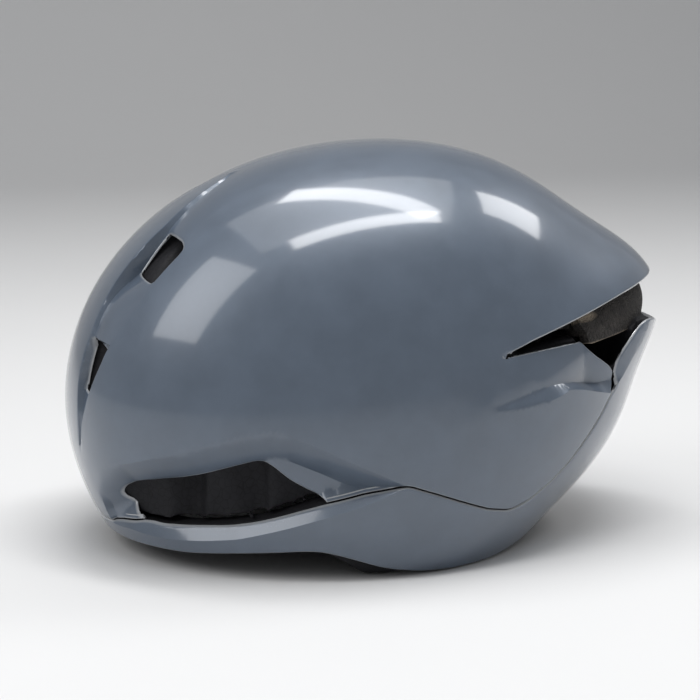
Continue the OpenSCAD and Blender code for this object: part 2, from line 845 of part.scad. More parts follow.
module dial_knob() {
    color("#2b2e32")
        translate([housing_x + 0.4, 0, dial_z])
            rotate([90, 0, 90])
                difference() {
                    union() {
                        cylinder(d = dial_d - 2, h = dial_t);
                        for (i = [0:dial_ribs - 1])
                            rotate(i * 360 / dial_ribs) translate([dial_d / 2 - 1.2, 0]) cylinder(r = 1.2, h = dial_t - 1, $fn = 16);
                    }
                    translate([0, 0, dial_t - 1.5]) cylinder(d = dial_d - 9, h = 2);
                    translate([0, 0, -1]) cylinder(d = shaft_d + 2 * press_play, h = dial_t);
                }
}

module dial_shaft() {
    color("silver")
        translate([housing_x - housing_t + 0.5, 0, dial_z])
            rotate([0, 90, 0]) cylinder(d = shaft_d, h = housing_t + dial_t - 2.2);
}

// Teeth of the pinion and the racks, with the play taken off each flank
module drive_pinion() {
    outer_r = pinion_pitch_r + 0.9 * gear_module;
    root_r = pinion_pitch_r - 1.1 * gear_module;
    half_tip = 0.35 * gear_module - gear_play / 2;
    half_root = 1.05 * gear_module - gear_play / 2;
    color("gainsboro")
        translate([housing_x - cover_t - channel_t + rack_play, 0, dial_z])
            rotate([90, 0, 90])
                linear_extrude(height = pinion_t)
                    difference() {
                        union() {
                            circle(r = root_r);
                            for (i = [0:gear_teeth - 1])
                                rotate(90 + i * 360 / gear_teeth)
                                    polygon([
                                        [root_r - 0.6, -half_root], [outer_r, -half_tip],
                                        [outer_r, half_tip], [root_r - 0.6, half_root]
                                    ]);
                        }
                        circle(d = shaft_d + 2 * press_play);
                    }
}

// A rack above (+1) or below (-1) the pinion. Above, a gap between its teeth faces the
// pinion's tooth; below it is a tooth if the pinion's teeth are odd in number.
module rack(side, level) {
    pitch = PI * gear_module;
    foot = pinion_pitch_r + gear_module;
    tip = pinion_pitch_r - 0.8 * gear_module;
    shift = level > 0 || gear_teeth % 2 == 0 ? 0.5 : 0;
    back = -rack_travel - 2;
    color("#303338")
        translate([housing_x - cover_t - channel_t + rack_play, 0, dial_z])
            rotate([90, 0, 90])
                linear_extrude(height = pinion_t)
                    mirror([side > 0 ? 0 : 1, 0])
                        mirror([0, level > 0 ? 0 : 1]) {
                            translate([back, foot]) square([rack_l - back, rack_t]);
                            for (i = [-2:floor((rack_l - 2) / pitch) - 1])
                                translate([(i + shift) * pitch, 0])
                                    polygon([
                                        [-0.95 * gear_module + gear_play / 2, foot + 0.2],
                                        [-0.4 * gear_module + gear_play / 2, tip],
                                        [0.4 * gear_module - gear_play / 2, tip],
                                        [0.95 * gear_module - gear_play / 2, foot + 0.2]
                                    ]);
                        }
}

module rack_left() {
    rack(LEFT, 1);
}

module rack_right() {
    rack(RIGHT, -1);
}

// Strap anchors: round buttons set into the inside of the lower liner, near the rim
function anchor_z(x) = place_z(lookup(x / kx, foam_rim_line)) + anchor_rise;
function anchor_turn(x) = atan((head_half(x + 1, anchor_z(x)) - head_half(x - 1, anchor_z(x))) / 2);

// Stands what follows on the wall of the head space, with its back outwards along Y
module at_anchor(x, side) {
    translate([x, side * head_half(x, anchor_z(x)), anchor_z(x)])
        rotate([0, 0, side * anchor_turn(x)])
            children();
}

module anchor_seats() {
    for (x = [front_anchor_x, rear_anchor_x], side = [LEFT, RIGHT])
        at_anchor(x, side)
            rotate([90, 0, 0])
                cylinder(d = anchor_d + 0.6, h = 2 * (anchor_t - anchor_proud + 0.3), center = true, $fn = 32);
}

module strap_anchors() {
    color("#1b1c1e")
        for (x = [front_anchor_x, rear_anchor_x], side = [LEFT, RIGHT])
            at_anchor(x, side)
                translate([0, side * (anchor_t / 2 - anchor_proud), 0])
                    rotate([90, 0, 0])
                        difference() {
                            cylinder(d = anchor_d, h = anchor_t, center = true);
                            cube([strap_w * 0.6, 1, 2 * anchor_t], center = true);
                        }
}

// The buckle lies lowest, the chin straps leave it under the dividers
buckle_z = foot_z + buckle_t / 2;
bar_play = 0.25;
layer_z = bar_d / 2 + bar_play + strap_t / 2;
divider_z = buckle_z + layer_z + strap_t / 2 + strap_gap;

// One flat length of webbing from an anchor to the outer edge of a divider
module side_strap(anchor_x, side, shift) {
    color("#202225")
        hull() {
            at_anchor(anchor_x, side)
                translate([0, -side * (anchor_proud + strap_t / 2 + strap_gap), 0])
                    cube([strap_w, strap_t, 1], center = true);
            translate([divider_x + shift, side * (divider_y + divider_s / 2 + strap_gap + 0.5), divider_z + divider_t / 2])
                cube([strap_w, 1, strap_t], center = true);
        }
}

module front_strap_left() {
    side_strap(front_anchor_x, LEFT, -strap_w / 2 - 1.5);
}

module front_strap_right() {
    side_strap(front_anchor_x, RIGHT, -strap_w / 2 - 1.5);
}

module rear_strap_left() {
    side_strap(rear_anchor_x, LEFT, strap_w / 2 + 1.5);
}

module rear_strap_right() {
    side_strap(rear_anchor_x, RIGHT, strap_w / 2 + 1.5);
}

// A strap divider: a flat plate with a slot for each strap
module strap_divider(side) {
    far = side * divider_s / 2;
    slot = [strap_w * 0.8, 2.4, 4 * divider_t];
    color("#1b1c1e")
        translate([divider_x, side * divider_y, divider_z])
            difference() {
                linear_extrude(height = divider_t)
                    polygon([
                        [-strap_w - 4, far], [strap_w + 4, far],
                        [strap_w / 2 + 3, -far], [-strap_w / 2 - 3, -far]
                    ]);
                for (x = [-1, 1])
                    translate([x * (strap_w / 2 + 1.5), far - side * 4, 0]) cube(slot, center = true);
                translate([0, side * 4 - far, 0]) cube(slot, center = true);
            }
}

module strap_divider_left() {
    strap_divider(LEFT);
}

module strap_divider_right() {
    strap_divider(RIGHT);
}

// Buckle sizes that several pieces share
plug_base_l = 12;
plug_gap = 0.4;
socket_y1 = 4;
bar_y_plug = socket_y1 + plug_gap + plug_base_l - 3;
bar_y_socket = socket_l - socket_y1 - 3;
loop_r = bar_d / 2 + bar_play + strap_t;
chin_end = divider_y - divider_s / 2 + 7;
arm_play = 0.6;

// A chin strap: webbing doubled round a buckle bar
module chin_strap(side, bar_y) {
    color("#202225")
        translate([divider_x - strap_w / 2, 0, buckle_z])
            rotate([90, 0, 90])
                linear_extrude(height = strap_w)
                    mirror([side > 0 ? 0 : 1, 0])
                        difference() {
                            union() {
                                translate([bar_y, 0]) circle(r = loop_r);
                                translate([bar_y, -loop_r]) square([chin_end - bar_y, 2 * loop_r]);
                            }
                            translate([bar_y, 0]) circle(r = loop_r - strap_t);
                            translate([bar_y, strap_t - loop_r]) square([chin_end, 2 * (loop_r - strap_t)]);
                        }
}

module chin_strap_left() {
    chin_strap(LEFT, bar_y_socket);
}

module chin_strap_right() {
    chin_strap(RIGHT, bar_y_plug);
}

// A keeper: a band of elastic round both layers of a chin strap, beside the buckle
keeper_l = 4;
keeper_gap = 0.8;
module strap_keeper(side, bar_y) {
    color("#101112")
        translate([divider_x, side * (bar_y + 3 + keeper_gap + keeper_l / 2), buckle_z])
            difference() {
                cube([strap_w + 2.6, keeper_l, 2 * loop_r + 2.2], center = true);
                cube([strap_w + 0.6, 2 * keeper_l, 2 * loop_r + 0.6], center = true);
            }
}

module strap_keeper_left() {
    strap_keeper(LEFT, bar_y_socket);
}

module strap_keeper_right() {
    strap_keeper(RIGHT, bar_y_plug);
}

// The fork that carries a strap bar at the outer end of a buckle half
module strap_fork(bar_y, outer) {
    translate([0, bar_y + outer * 3, 0])
        cube([strap_w + 2 * arm_play, 2 * (3 + loop_r + 0.4), 2 * buckle_t], center = true);
}

module strap_bar(bar_y) {
    translate([-strap_w / 2 - arm_play - 0.4, bar_y, 0])
        rotate([0, 90, 0])
            cylinder(d = bar_d, h = strap_w + 2 * arm_play + 0.8);
}

// Buckle socket: a flat sleeve with a window on each side for the prongs
prong_y1 = -11;
module buckle_socket() {
    space = prong_t + 2 * buckle_play;
    color("#1b1c1e")
        translate([divider_x, 0, buckle_z]) {
            difference() {
                translate([-buckle_w / 2, socket_y1 - socket_l, -buckle_t / 2]) cube([buckle_w, socket_l, buckle_t]);
                translate([-buckle_w / 2 + 2, prong_y1 - 0.4, -space / 2]) cube([buckle_w - 4, socket_l, space]);
                translate([-buckle_w / 2 - 1, prong_y1 + 2, -space / 2]) cube([buckle_w + 2, 7, space]);
                strap_fork(-bar_y_socket, -1);
            }
            strap_bar(-bar_y_socket);
        }
}

// Buckle plug: a base with a strap bar, two sprung prongs and a guide tongue
module buckle_plug() {
    base_y = socket_y1 + plug_gap;
    wide = buckle_w / 2 - 2 - buckle_play;
    color("#1b1c1e")
        translate([divider_x, 0, buckle_z]) {
            difference() {
                translate([-buckle_w / 2, base_y, -buckle_t / 2]) cube([buckle_w, plug_base_l, buckle_t]);
                strap_fork(bar_y_plug, 1);
            }
            strap_bar(bar_y_plug);
            linear_extrude(height = prong_t, center = true) {
                for (s = [-1, 1])
                    polygon([
                        [s * (wide - 4.5), base_y + 0.2], [s * (wide - 1.5), base_y + 0.2], [s * (wide - 1), -3],
                        [s * wide, -3.6], [s * wide, -8], [s * (wide - 1.6), prong_y1],
                        [s * (wide - 3.4), prong_y1], [s * (wide - 3.6), -3]
                    ]);
                polygon([[-2, base_y + 0.2], [2, base_y + 0.2], [1.4, prong_y1 + 2], [-1.4, prong_y1 + 2]]);
            }
        }
}

upper_shell();
lower_shell();
crown_liner();
lower_liner();
tail_core();
brow_pad();
crown_pad();
top_pad_left();
top_pad_right();
side_pad_left();
side_pad_right();
temple_pin_left();
temple_pin_right();
band_left();
band_right();
dial_housing();
housing_cover();
nape_cradle();
nape_pad_left();
nape_pad_right();
dial_knob();
dial_shaft();
drive_pinion();
rack_left();
rack_right();
strap_anchors();
front_strap_left();
front_strap_right();
rear_strap_left();
rear_strap_right();
strap_divider_left();
strap_divider_right();
chin_strap_left();
chin_strap_right();
strap_keeper_left();
strap_keeper_right();
buckle_socket();
buckle_plug();
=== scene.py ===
import math

import bmesh
import bpy
import numpy as np
from bpy.props import FloatProperty, FloatVectorProperty, PointerProperty
from mathutils import Matrix, Vector


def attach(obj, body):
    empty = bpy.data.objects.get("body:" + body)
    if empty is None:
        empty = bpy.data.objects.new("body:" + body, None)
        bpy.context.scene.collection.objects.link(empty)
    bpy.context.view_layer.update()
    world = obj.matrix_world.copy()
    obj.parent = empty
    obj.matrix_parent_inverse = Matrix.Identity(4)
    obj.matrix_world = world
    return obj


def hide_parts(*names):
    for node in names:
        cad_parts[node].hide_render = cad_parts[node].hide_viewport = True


bl_info = {
    "name": "Road Helmet Dressing",
    "version": (1, 0, 0),
    "blender": (4, 5, 0),
    "location": "3D View > Sidebar > Helmet",
    "description": "Builds the shells, pads, webbing and finishes of a road helmet over its solid frame",
    "category": "Object",
}

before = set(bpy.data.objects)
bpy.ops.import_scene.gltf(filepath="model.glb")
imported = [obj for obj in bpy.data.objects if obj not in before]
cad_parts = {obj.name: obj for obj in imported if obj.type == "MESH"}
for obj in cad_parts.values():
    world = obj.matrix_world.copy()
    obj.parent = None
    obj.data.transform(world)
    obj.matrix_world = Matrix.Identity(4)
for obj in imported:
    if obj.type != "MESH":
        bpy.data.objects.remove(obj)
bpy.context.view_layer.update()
MM = 0.001
SIDES = {"left": -1, "right": 1}

# The shell surface in millimetres, drawn with its resting plane at z = FOOT
FOOT = 5.0
HALF_W = 102.0
CENTRE = (-1.0, 65.0)
OUTLINE_R = (131, 132, 127, 118, 122, 135, 142, 130, 126, 108, 96, 95)
TAIL_ANGLE, TAIL_REACH = 21.0, 18.0
TAIL_SPREAD_ABOVE, TAIL_SPREAD_BELOW = 15.0, 11.0
NOSE_POWER, CROWN_POWER, TAIL_POWER = 2.2, 2.3, 1.9

# Lines of the side view, as (x, z)
RIM = (
    (-150, 13), (-97, 13.5), (-76, 16), (-52, 18), (-44, 18), (-36, 16), (-27, 13), (-16, 9),
    (0, 6), (14, 5), (38, 5), (52, 6.5), (66, 10), (80, 18), (92, 26), (160, 30),
)
SEAM_FRONT = (
    (-150, 19.5), (-126, 20.3), (-122, 22), (-118, 23), (-114, 24.2), (-108, 23.8), (-100, 24.6),
    (-91.5, 25.7), (-84, 26.7), (-78, 27.7), (-70, 29.8), (-61.5, 32.4), (-53, 35.2), (-44, 38),
    (-35.5, 40.2), (-24, 43.4), (-13.5, 45.8), (-8, 47),
)
SEAM_REAR = (
    (6, 42), (21, 36), (31, 32), (43, 29), (54, 32), (64, 38), (74, 46.5), (82, 55.5), (89, 63.5),
    (93.3, 69.3), (96.5, 74.8), (98.2, 76), (99.6, 78.4), (100.2, 81.2), (99.4, 84.6),
)
SLOT_LIP = (
    (97.5, 86.8), (90.7, 92.6), (82, 103.2), (70.6, 103), (59.7, 102), (46.5, 100.4), (35.4, 99.1),
)
SLOT_TOP = (
    (51, 104.8), (69.5, 110.2), (87, 115.1), (101.5, 118.9), (118, 122), (132, 123.6), (160, 124.5),
)
REAR_EDGE = (
    (160, 100), (139, 100), (131, 102.5), (125, 105), (119.5, 106), (114.3, 104.3), (110.5, 100.7),
    (106.3, 96.4), (101.8, 91.3),
)
BROW_VENT = (
    (-124, 38.6), (-119, 41.5), (-114, 43), (-104, 45.6), (-96, 48), (-89, 50.6), (-81, 53.5),
    (-73, 56.2), (-69, 56.3), (-65, 53.6), (-58, 47.7), (-50, 43.1), (-42.5, 39.5), (-41, 37.6),
    (-44, 37), (-53, 34.2), (-61.5, 31.4), (-70, 28.8), (-78, 26.7), (-84, 25.7), (-91.5, 24.7),
    (-100, 23.6), (-108, 22.8), (-114, 23.6), (-118, 25), (-121.5, 28), (-124, 31.5), (-125, 35),
)
TROUGH_TOP = (
    (-130, 46), (-122, 52), (-110.5, 57.2), (-98.5, 61.2), (-86.5, 65.3), (-72, 69.4), (-65, 70.5),
    (-58, 69.7), (-45, 64.3), (-27.5, 56), (-8, 47),
)
TROUGH_FOOT = (
    (-130, 19), (-117.5, 20.6), (-112, 19.9), (-104, 19.8), (-92, 21), (-77.5, 23.3), (-61, 28.2),
    (-44, 33.6), (-27, 38.9), (-8, 47),
)
SCOOP_TIP = (33.0, 98.0)
SCOOP_FOOT = (
    (28, 76.5), (40, 76.8), (50, 77.8), (60, 78.6), (65, 80.2), (68.5, 82), (77, 80.6), (86, 77.9),
    (98, 74.4),
)
SCOOP_LEDGE = (
    (28, 77.5), (41, 80), (51, 82.4), (60, 83.8), (65, 83.8), (69, 83.4), (77, 82), (86, 79.3),
    (92, 78.8), (98, 80),
)
SCOOP_TOP = ((28, 98.5), (35, 99.4), (50, 101.2), (60, 102.3), (71, 103.4), (82, 104), (104, 104))
TROUGH_START, TROUGH_END, TROUGH_CREST_Z = -130.0, -8.0, 67
TROUGH_SLOPE, TROUGH_RISE = 0.68, 1.1
SCOOP_START, SCOOP_END = 28.0, 104.0
SCOOP_LOW, SCOOP_HIGH = 78, 104.5
SCOOP_CREST_END, SCOOP_CREST_TOP = 62, 100
SCOOP_STEEP, SCOOP_FLAT = (0.165, 0.056), (0.12, -0.027)
SCOOP_BEND, SCOOP_BEND_Z, SCOOP_BEND_LEAN = 82.5, 102.5, 0.14
SCOOP_FADE, SCOOP_FADE_END = 0.62, 99
SCOOP_DRAWN = 9
BAND_X, BAND_LOW, BAND_HIGH, BAND_CREASE_END = 95, 73, 112, 107
BAND_INNER = (
    (74, 96), (76, 98.2), (78.4, 99.6), (81.2, 100.2), (84.6, 99.4), (91.3, 101.8), (96.4, 106.3),
    (100.7, 110.5), (104.3, 114.3), (107, 119.5), (109, 122),
)
BAND_SHARE = (
    (74.8, 0), (76, 0.25), (78.4, 0.62), (81.2, 0.85), (84.6, 1), (91.3, 0.9), (100.7, 0.65), (109, 0.2),
)
BAND_CREASE = (
    (73, 95.4), (75, 97.4), (84, 104.3), (91.3, 109.6), (97.7, 115.6), (104.3, 120), (109, 122.5),
)

# Half width of the raised centre strip, the outer edge of its grooves and their depth, by angle
STRIP_EDGE = (
    (119, -1), (120, 0), (122.8, 7), (128.6, 12), (133.4, 16.5), (138.4, 20), (147, 20.5), (153, 20.8),
    (160, 22.2), (163.6, 23.2), (166, 22.4), (172, 22.5), (178.5, 24), (182, 23.4), (185.4, 20.8),
    (205, 20.8),
)
GROOVE_EDGE = (
    (90, 53), (104, 49), (125, 46), (139, 45.6), (150, 46.5), (155, 46.4), (160, 43.6), (165, 40),
    (167.8, 38.3), (170.2, 36.4), (172.4, 34.6), (174.9, 32.8), (177.3, 30.6), (179.9, 28), (182.8, 25.4),
    (186, 23), (205, 23),
)
GROOVE_SHARE = (
    (90, 0), (112, 0.02), (122, 0.1), (128, 0.2), (134, 0.3), (137.5, 0.38), (140, 0.65), (145, 0.95),
    (148, 1.1), (150, 0.95), (152.5, 0.65), (154.5, 0.48), (156.6, 0.33), (159, 0.25), (163.4, 0.25),
    (163.9, 0.6), (172, 0.6), (175, 0.5), (177.3, 0.36), (180, 0.22), (183, 0.1), (186, 0),
)
PANEL_START = 163.7
PANEL_EDGES = (163.4, 163.9)
PANEL_INNER, PANEL_OUTER, PANEL_X, PANEL_Z = 21, 44, -100, 125
STRIP_TOP, STRIP_FOOT = 124, 184
STRIP_CUT, GROOVE_CUT, PANEL_CUT = (120, 186), (95, 186), (PANEL_START, 184)

# Front vents in the view from the front, as (distance from the middle, z)
UPPER_VENT = (
    (22, 149.5), (30, 148.6), (39, 146.5), (44, 143.8), (45.3, 141.5), (45.6, 138), (45.4, 133),
    (45, 128.6), (36, 130.8), (29, 132.5), (22, 134),
)
LOWER_VENT = (
    (23.8, 103.4), (31, 101.2), (39.4, 98.3), (38.2, 93), (36.3, 87.5), (34.5, 82.7), (32.6, 78.5),
    (28, 78.5), (24, 80),
)

# The face of the tail core between the shells, the painted highlight along its lower edge and its pale spot
# under the lip
CORE_FACE = (
    (160, 100.5), (116, 100.5), (105.5, 100.8), (97, 101), (86.2, 100.4), (83.7, 107.4), (80, 112),
    (80, 128), (160, 128),
)
PALE_SPOT, PALE_SPOT_SIZE = (84, 114), (7.0, 2.4)
EDGE_HIGHLIGHT_REACH = 1.6

# The arch in the rear rim in the view from behind, as (distance from the middle, z)
NAPE_ARCH = ((-10, -20), (44, -20), (44, 26), (42, 32), (37, 36.5), (30, 38), (-10, 38))

# The openings lie in front of FRONT_X, outside VENT_Y or behind ARCH_X, the carving outside SHOULDER_Y
FRONT_X, VENT_Y, SHOULDER_Y, ARCH_X = -40.0, 25.0, 30.0, 56.0

# The fan of rays from below that lays out the shell mesh: start, reach and step, then angles
FAN_Z, FAN_REACH, FAN_STEP, FAN_LEAST = -60.0, 350.0, 5.0, 60.0
FAN_START, FAN_MIDDLE, FAN_END, FAN_SIDE = 42.0, 92.0, 152.5, 54.5

# Reach of the wear and of the painted edge highlight from a cut edge, the angles that are shaded as creases
# and the gap that is welded
RIM_REACH = 4.0
SHELL_CREASE, FOAM_CREASE = 36, 60
WELD = 0.02 * MM

# The head space in millimetres above the resting plane
HEAD_R = (107, 106, 101, 98, 100, 105, 106, 112, 125, 128, 86, 90)
HEAD_CENTRE = (-1.0, 47.0)
HEAD_HALF_W = 81.0
HEAD_POWER = 2.3

# Pads and webbing in millimetres
PAD_BORDER, PAD_CHANNEL, PAD_CELL, PAD_SINK = 3.2, 21.0, 1.1, 0.8
STITCH_STEP, STITCH_RISE, STITCH_HALF = 3.1, 0.75, (1.15, 0.42, 0.34)
DIVIDER_X, BUCKLE_Z, BAR_TURN = 10.0, 5.0, 2.35
KEEPER_WIDTH, KEEPER_THICK = 4.0, 1.0
RIB_ROW, RIB_STEP = 1.15, 0.8
WEB_ROWS = 8

# Rounding of the foam's skin and the colour of the core's painted edge highlight and pale spot
FOAM_ROUNDING = 12
PALE_AND_HIGHLIGHT_FOAM = (0.34, 0.28, 0.21, 1)

# The stage in metres, with each lamp's name, place, size and power
CAMERA_AIM = (-8.135 * MM, 0, 82.823 * MM)
FLOOR_HALF = 3.0
LIT_POINT = (0, 0, 0.09)
LAMPS = (
    ("Overhead far", (0.1, 0.1, 1.35), (1.0, 0.2), 6),
    ("Overhead near", (0.05, -0.33, 1.3), (0.9, 0.16), 5),
    ("Front left", (-1.15, -0.35, 1.05), (0.7, 0.9), 7),
    ("Rear right", (1.0, 0.2, 1.1), (0.4, 0.5), 4),
    ("Overhead wide", (0.0, 0.1, 1.9), (1.8, 1.2), 9),
)


class ShellSettings(bpy.types.PropertyGroup):
    """Sizes and colours of the outer shells"""

    thickness: FloatProperty(
        name="Thickness", description="Thickness of the shells", default=1.8 * MM, unit="LENGTH"
    )
    panel_gap: FloatProperty(
        name="Panel gap", description="Gap between the two shells", default=0.6 * MM, unit="LENGTH"
    )
    groove: FloatProperty(
        name="Groove depth", description="Depth beside the centre strip", default=6 * MM, unit="LENGTH"
    )
    trough: FloatProperty(
        name="Trough depth", description="Depth round the brow vents", default=9 * MM, unit="LENGTH"
    )
    scoop: FloatProperty(
        name="Scoop depth", description="Depth of the side scoops", default=9 * MM, unit="LENGTH"
    )
    band: FloatProperty(
        name="Rear band", description="Depth of the rear rim's band at the seam",
        default=3.2 * MM, unit="LENGTH",
    )
    mesh_step: FloatProperty(
        name="Mesh step", description="Spacing of the surface grid", default=2.2 * MM, unit="LENGTH"
    )
    edge_radius: FloatProperty(
        name="Edge radius", description="Rounding of the cut edges", default=0.9 * MM, unit="LENGTH"
    )
    paint: FloatVectorProperty(
        name="Paint", description="Colour of the shells", subtype="COLOR", size=3,
        default=(0.086, 0.113, 0.154),
    )
    # Colour of the cut edges: partly their bare plastic, partly a painted edge highlight
    bare_and_highlit_edge: FloatVectorProperty(
        name="Bare edge", description="Colour of the cut edges", subtype="COLOR", size=3,
        default=(0.42, 0.43, 0.44),
    )


class FoamSettings(bpy.types.PropertyGroup):
    """Sizes and colours of the foam"""

    liner: FloatVectorProperty(
        name="Liner", description="Colour of the foam liner", subtype="COLOR", size=3,
        default=(0.012, 0.012, 0.014),
    )
    core: FloatVectorProperty(
        name="Core", description="Colour of the tail core", subtype="COLOR", size=3,
        default=(0.022, 0.019, 0.017),
    )
    skin_step: FloatProperty(
        name="Skin step", description="Fineness of the foam's moulded skin", default=1.8 * MM, unit="LENGTH"
    )
    inset: FloatProperty(
        name="Inset", description="How far the foam stays below the shells", default=1 * MM, unit="LENGTH"
    )
    core_depth: FloatProperty(
        name="Core depth", description="Depth of the core's face below the shells",
        default=7.5 * MM, unit="LENGTH",
    )
    core_wall: FloatProperty(
        name="Core wall", description="Thickness of the core's face", default=5 * MM, unit="LENGTH"
    )


class FitSettings(bpy.types.PropertyGroup):
    """Sizes and colours of the pads and the fit system"""

    pad_thickness: FloatProperty(
        name="Pad thickness", description="Thickness of the pads", default=6 * MM, unit="LENGTH"
    )
    cloth: FloatVectorProperty(
        name="Cloth", description="Colour of the pad cloth", subtype="COLOR", size=3,
        default=(0.02, 0.022, 0.026),
    )
    plastic: FloatVectorProperty(
        name="Plastic", description="Colour of the plastic", subtype="COLOR", size=3,
        default=(0.016, 0.017, 0.019),
    )


class StrapSettings(bpy.types.PropertyGroup):
    """Sizes and colour of the webbing"""

    width: FloatProperty(
        name="Width", description="Width of the webbing", default=14 * MM, unit="LENGTH"
    )
    thickness: FloatProperty(
        name="Thickness", description="Thickness of the webbing", default=1.2 * MM, unit="LENGTH"
    )
    colour: FloatVectorProperty(
        name="Colour", description="Colour of the webbing", subtype="COLOR", size=3,
        default=(0.014, 0.015, 0.017),
    )


class StageSettings(bpy.types.PropertyGroup):
    """The floor and the camera"""

    floor: FloatVectorProperty(
        name="Floor", description="Colour of the floor", subtype="COLOR", size=3, default=(0.72, 0.72, 0.72)
    )
    azimuth: FloatProperty(
        name="Azimuth", description="Turn of the camera", default=math.radians(-14), subtype="ANGLE"
    )
    elevation: FloatProperty(
        name="Elevation", description="Rise of the camera", default=math.radians(10), subtype="ANGLE"
    )
    distance: FloatProperty(
        name="Distance", description="Distance of the camera", default=0.9, unit="LENGTH"
    )
    lens: FloatProperty(name="Lens", description="Focal length in millimetres", default=99.46)


# Lines, outlines and the shell surface


def clamp(value, low=0.0, high=1.0):
    return max(low, min(high, value))


def ramp(value, low, high):
    return clamp((value - low) / (high - low))


def lookup(line, x):
    """Height of a line of straight stretches at x."""
    if x <= line[0][0]:
        return line[0][1]
    for (x0, z0), (x1, z1) in zip(line, line[1:]):
        if x <= x1:
            return z0 + (z1 - z0) * (x - x0) / (x1 - x0)
    return line[-1][1]


def rounded(points, radius, closed=True):
    """A line or outline whose corners are turned on arcs no longer than radius."""
    n = len(points)
    out = [] if closed else [points[0]]
    for i in range(0 if closed else 1, n if closed else n - 1):
        corner = Vector(points[i])
        before, after = Vector(points[i - 1]) - corner, Vector(points[(i + 1) % n]) - corner
        start = corner + before * min(0.45, radius / max(before.length, 1e-6))
        end = corner + after * min(0.45, radius / max(after.length, 1e-6))
        for t in (0.0, 0.25, 0.5, 0.75, 1.0):
            out.append(tuple(start.lerp(corner, t).lerp(corner.lerp(end, t), t)))
    return out if closed else out + [points[-1]]


class Outline:
    """A closed outline that tells how far inside it points lie."""

    REACH = 6.0

    def __init__(self, points):
        start = np.array(points, dtype=float)
        self.start = start
        self.run = np.roll(start, -1, axis=0) - start
        self.length2 = np.maximum((self.run ** 2).sum(axis=1), 1e-12)

    def depth(self, x, z):
        """Distances to the outline, positive inside it and never below minus REACH."""
        x = np.asarray(x, dtype=float)[:, None]
        z = np.asarray(z, dtype=float)[:, None]
        dx, dz = x - self.start[:, 0], z - self.start[:, 1]
        share = np.clip((dx * self.run[:, 0] + dz * self.run[:, 1]) / self.length2, 0, 1)
        away = (dx - share * self.run[:, 0]) ** 2 + (dz - share * self.run[:, 1]) ** 2
        nearest = np.sqrt(away.min(axis=1))
        end_z = self.start[:, 1] + self.run[:, 1]
        spans = (self.start[:, 1] > z) != (end_z > z)
        rise = np.where(self.run[:, 1] == 0, 1e-12, self.run[:, 1])
        crossed = spans & (x < self.start[:, 0] + dz * self.run[:, 0] / rise)
        inside = crossed.sum(axis=1) % 2 == 1
        return np.where(inside, nearest, -np.minimum(nearest, self.REACH))


SEAM = rounded(SEAM_FRONT + SEAM_REAR, 3, closed=False)
LIP = rounded(SEAM[-1:] + list(SLOT_LIP), 1.2, closed=False)[1:]
UPPER = Outline(SEAM + LIP + rounded(SLOT_TOP, 6, closed=False) + [(160, 220), (-160, 220), (-160, 21)])
LOWER = Outline(rounded(RIM, 5, closed=False) + rounded(REAR_EDGE, 3, closed=False) + SEAM[::-1])
BROW = Outline(rounded(BROW_VENT, 1.6))
FRONT_UPPER = Outline(rounded(UPPER_VENT, 2.4))
FRONT_LOWER = Outline(rounded(LOWER_VENT, 1.0))
ARCH = Outline(rounded(NAPE_ARCH, 3))
CORE = Outline(rounded(CORE_FACE, 0.8))
OPENINGS = ((FRONT_UPPER, "front"), (FRONT_LOWER, "front"), (BROW, "side"), (ARCH, "rear"))


def spline(values, angle):
    """Closed cubic spline through evenly spaced control values, for an angle in degrees."""
    n = len(values)
    s = (angle % 360.0) / 360.0 * n
    i = int(s)
    f = s - i
    return (
        (1 - f) ** 3 * values[(i - 1) % n] + (3 * f ** 3 - 6 * f ** 2 + 4) * values[i % n]
        + (-3 * f ** 3 + 3 * f ** 2 + 3 * f + 1) * values[(i + 1) % n] + f ** 3 * values[(i + 2) % n]
    ) / 6


def outline_radius(angle):
    away = (angle - TAIL_ANGLE + 540.0) % 360.0 - 180.0
    spread = TAIL_SPREAD_ABOVE if away > 0 else TAIL_SPREAD_BELOW
    return spline(OUTLINE_R, angle) + TAIL_REACH * math.exp(-((away / spread) ** 2))


def outline_power(angle):
    c = math.cos(math.radians(angle))
    end = TAIL_POWER if c > 0 else NOSE_POWER
    return CROWN_POWER + (end - CROWN_POWER) * c * c


def polar(x, z):
    return math.hypot(x - CENTRE[0], z - CENTRE[1]), math.degrees(math.atan2(z - CENTRE[1], x - CENTRE[0]))


def surface_value(x, y, z):
    """Below 1 inside the shell surface, above 1 outside."""
    r, angle = polar(x, z)
    n = outline_power(angle)
    return (r / outline_radius(angle)) ** n + (abs(y) / HALF_W) ** n


def surface_normal(x, y, z):
    r, angle = polar(x, z)
    n = outline_power(angle)
    radius = outline_radius(angle)
    slope = (outline_radius(angle + 1) - outline_radius(angle - 1)) / math.radians(2)
    share = max(1e-6, r / radius) ** (n - 1)
    out = share / radius
    along = -share * slope / radius ** 2
    c = math.cos(math.radians(angle))
    s = math.sin(math.radians(angle))
    across = math.copysign((abs(y) / HALF_W) ** (n - 1) / HALF_W, y)
    return Vector((out * c - along * s, across, out * s + along * c)).normalized()


def groove_depth(angle, y, full):
    """Steep beside the strip, then fading to the shoulder, or flat to the panel's edge low down."""
    if not GROOVE_EDGE[0][0] <= angle <= GROOVE_EDGE[-1][0]:
        return 0.0
    edge = lookup(STRIP_EDGE, angle)
    limit = lookup(GROOVE_EDGE, angle)
    fade = edge + 1 if angle < PANEL_START else max(edge + 1, limit - 1)
    return full * lookup(GROOVE_SHARE, angle) * ramp(y, edge, edge + 1) * (1 - ramp(y, fade, limit))


def trough_depth(x, z, full):
    if not TROUGH_START <= x <= TROUGH_END:
        return 0.0
    top = TROUGH_SLOPE * (lookup(TROUGH_TOP, x) - z)
    foot = TROUGH_RISE * (z - lookup(TROUGH_FOOT, x))
    return clamp(min(top, foot), 0.0, full) * ramp(x, TROUGH_START + 1, TROUGH_START + 8)


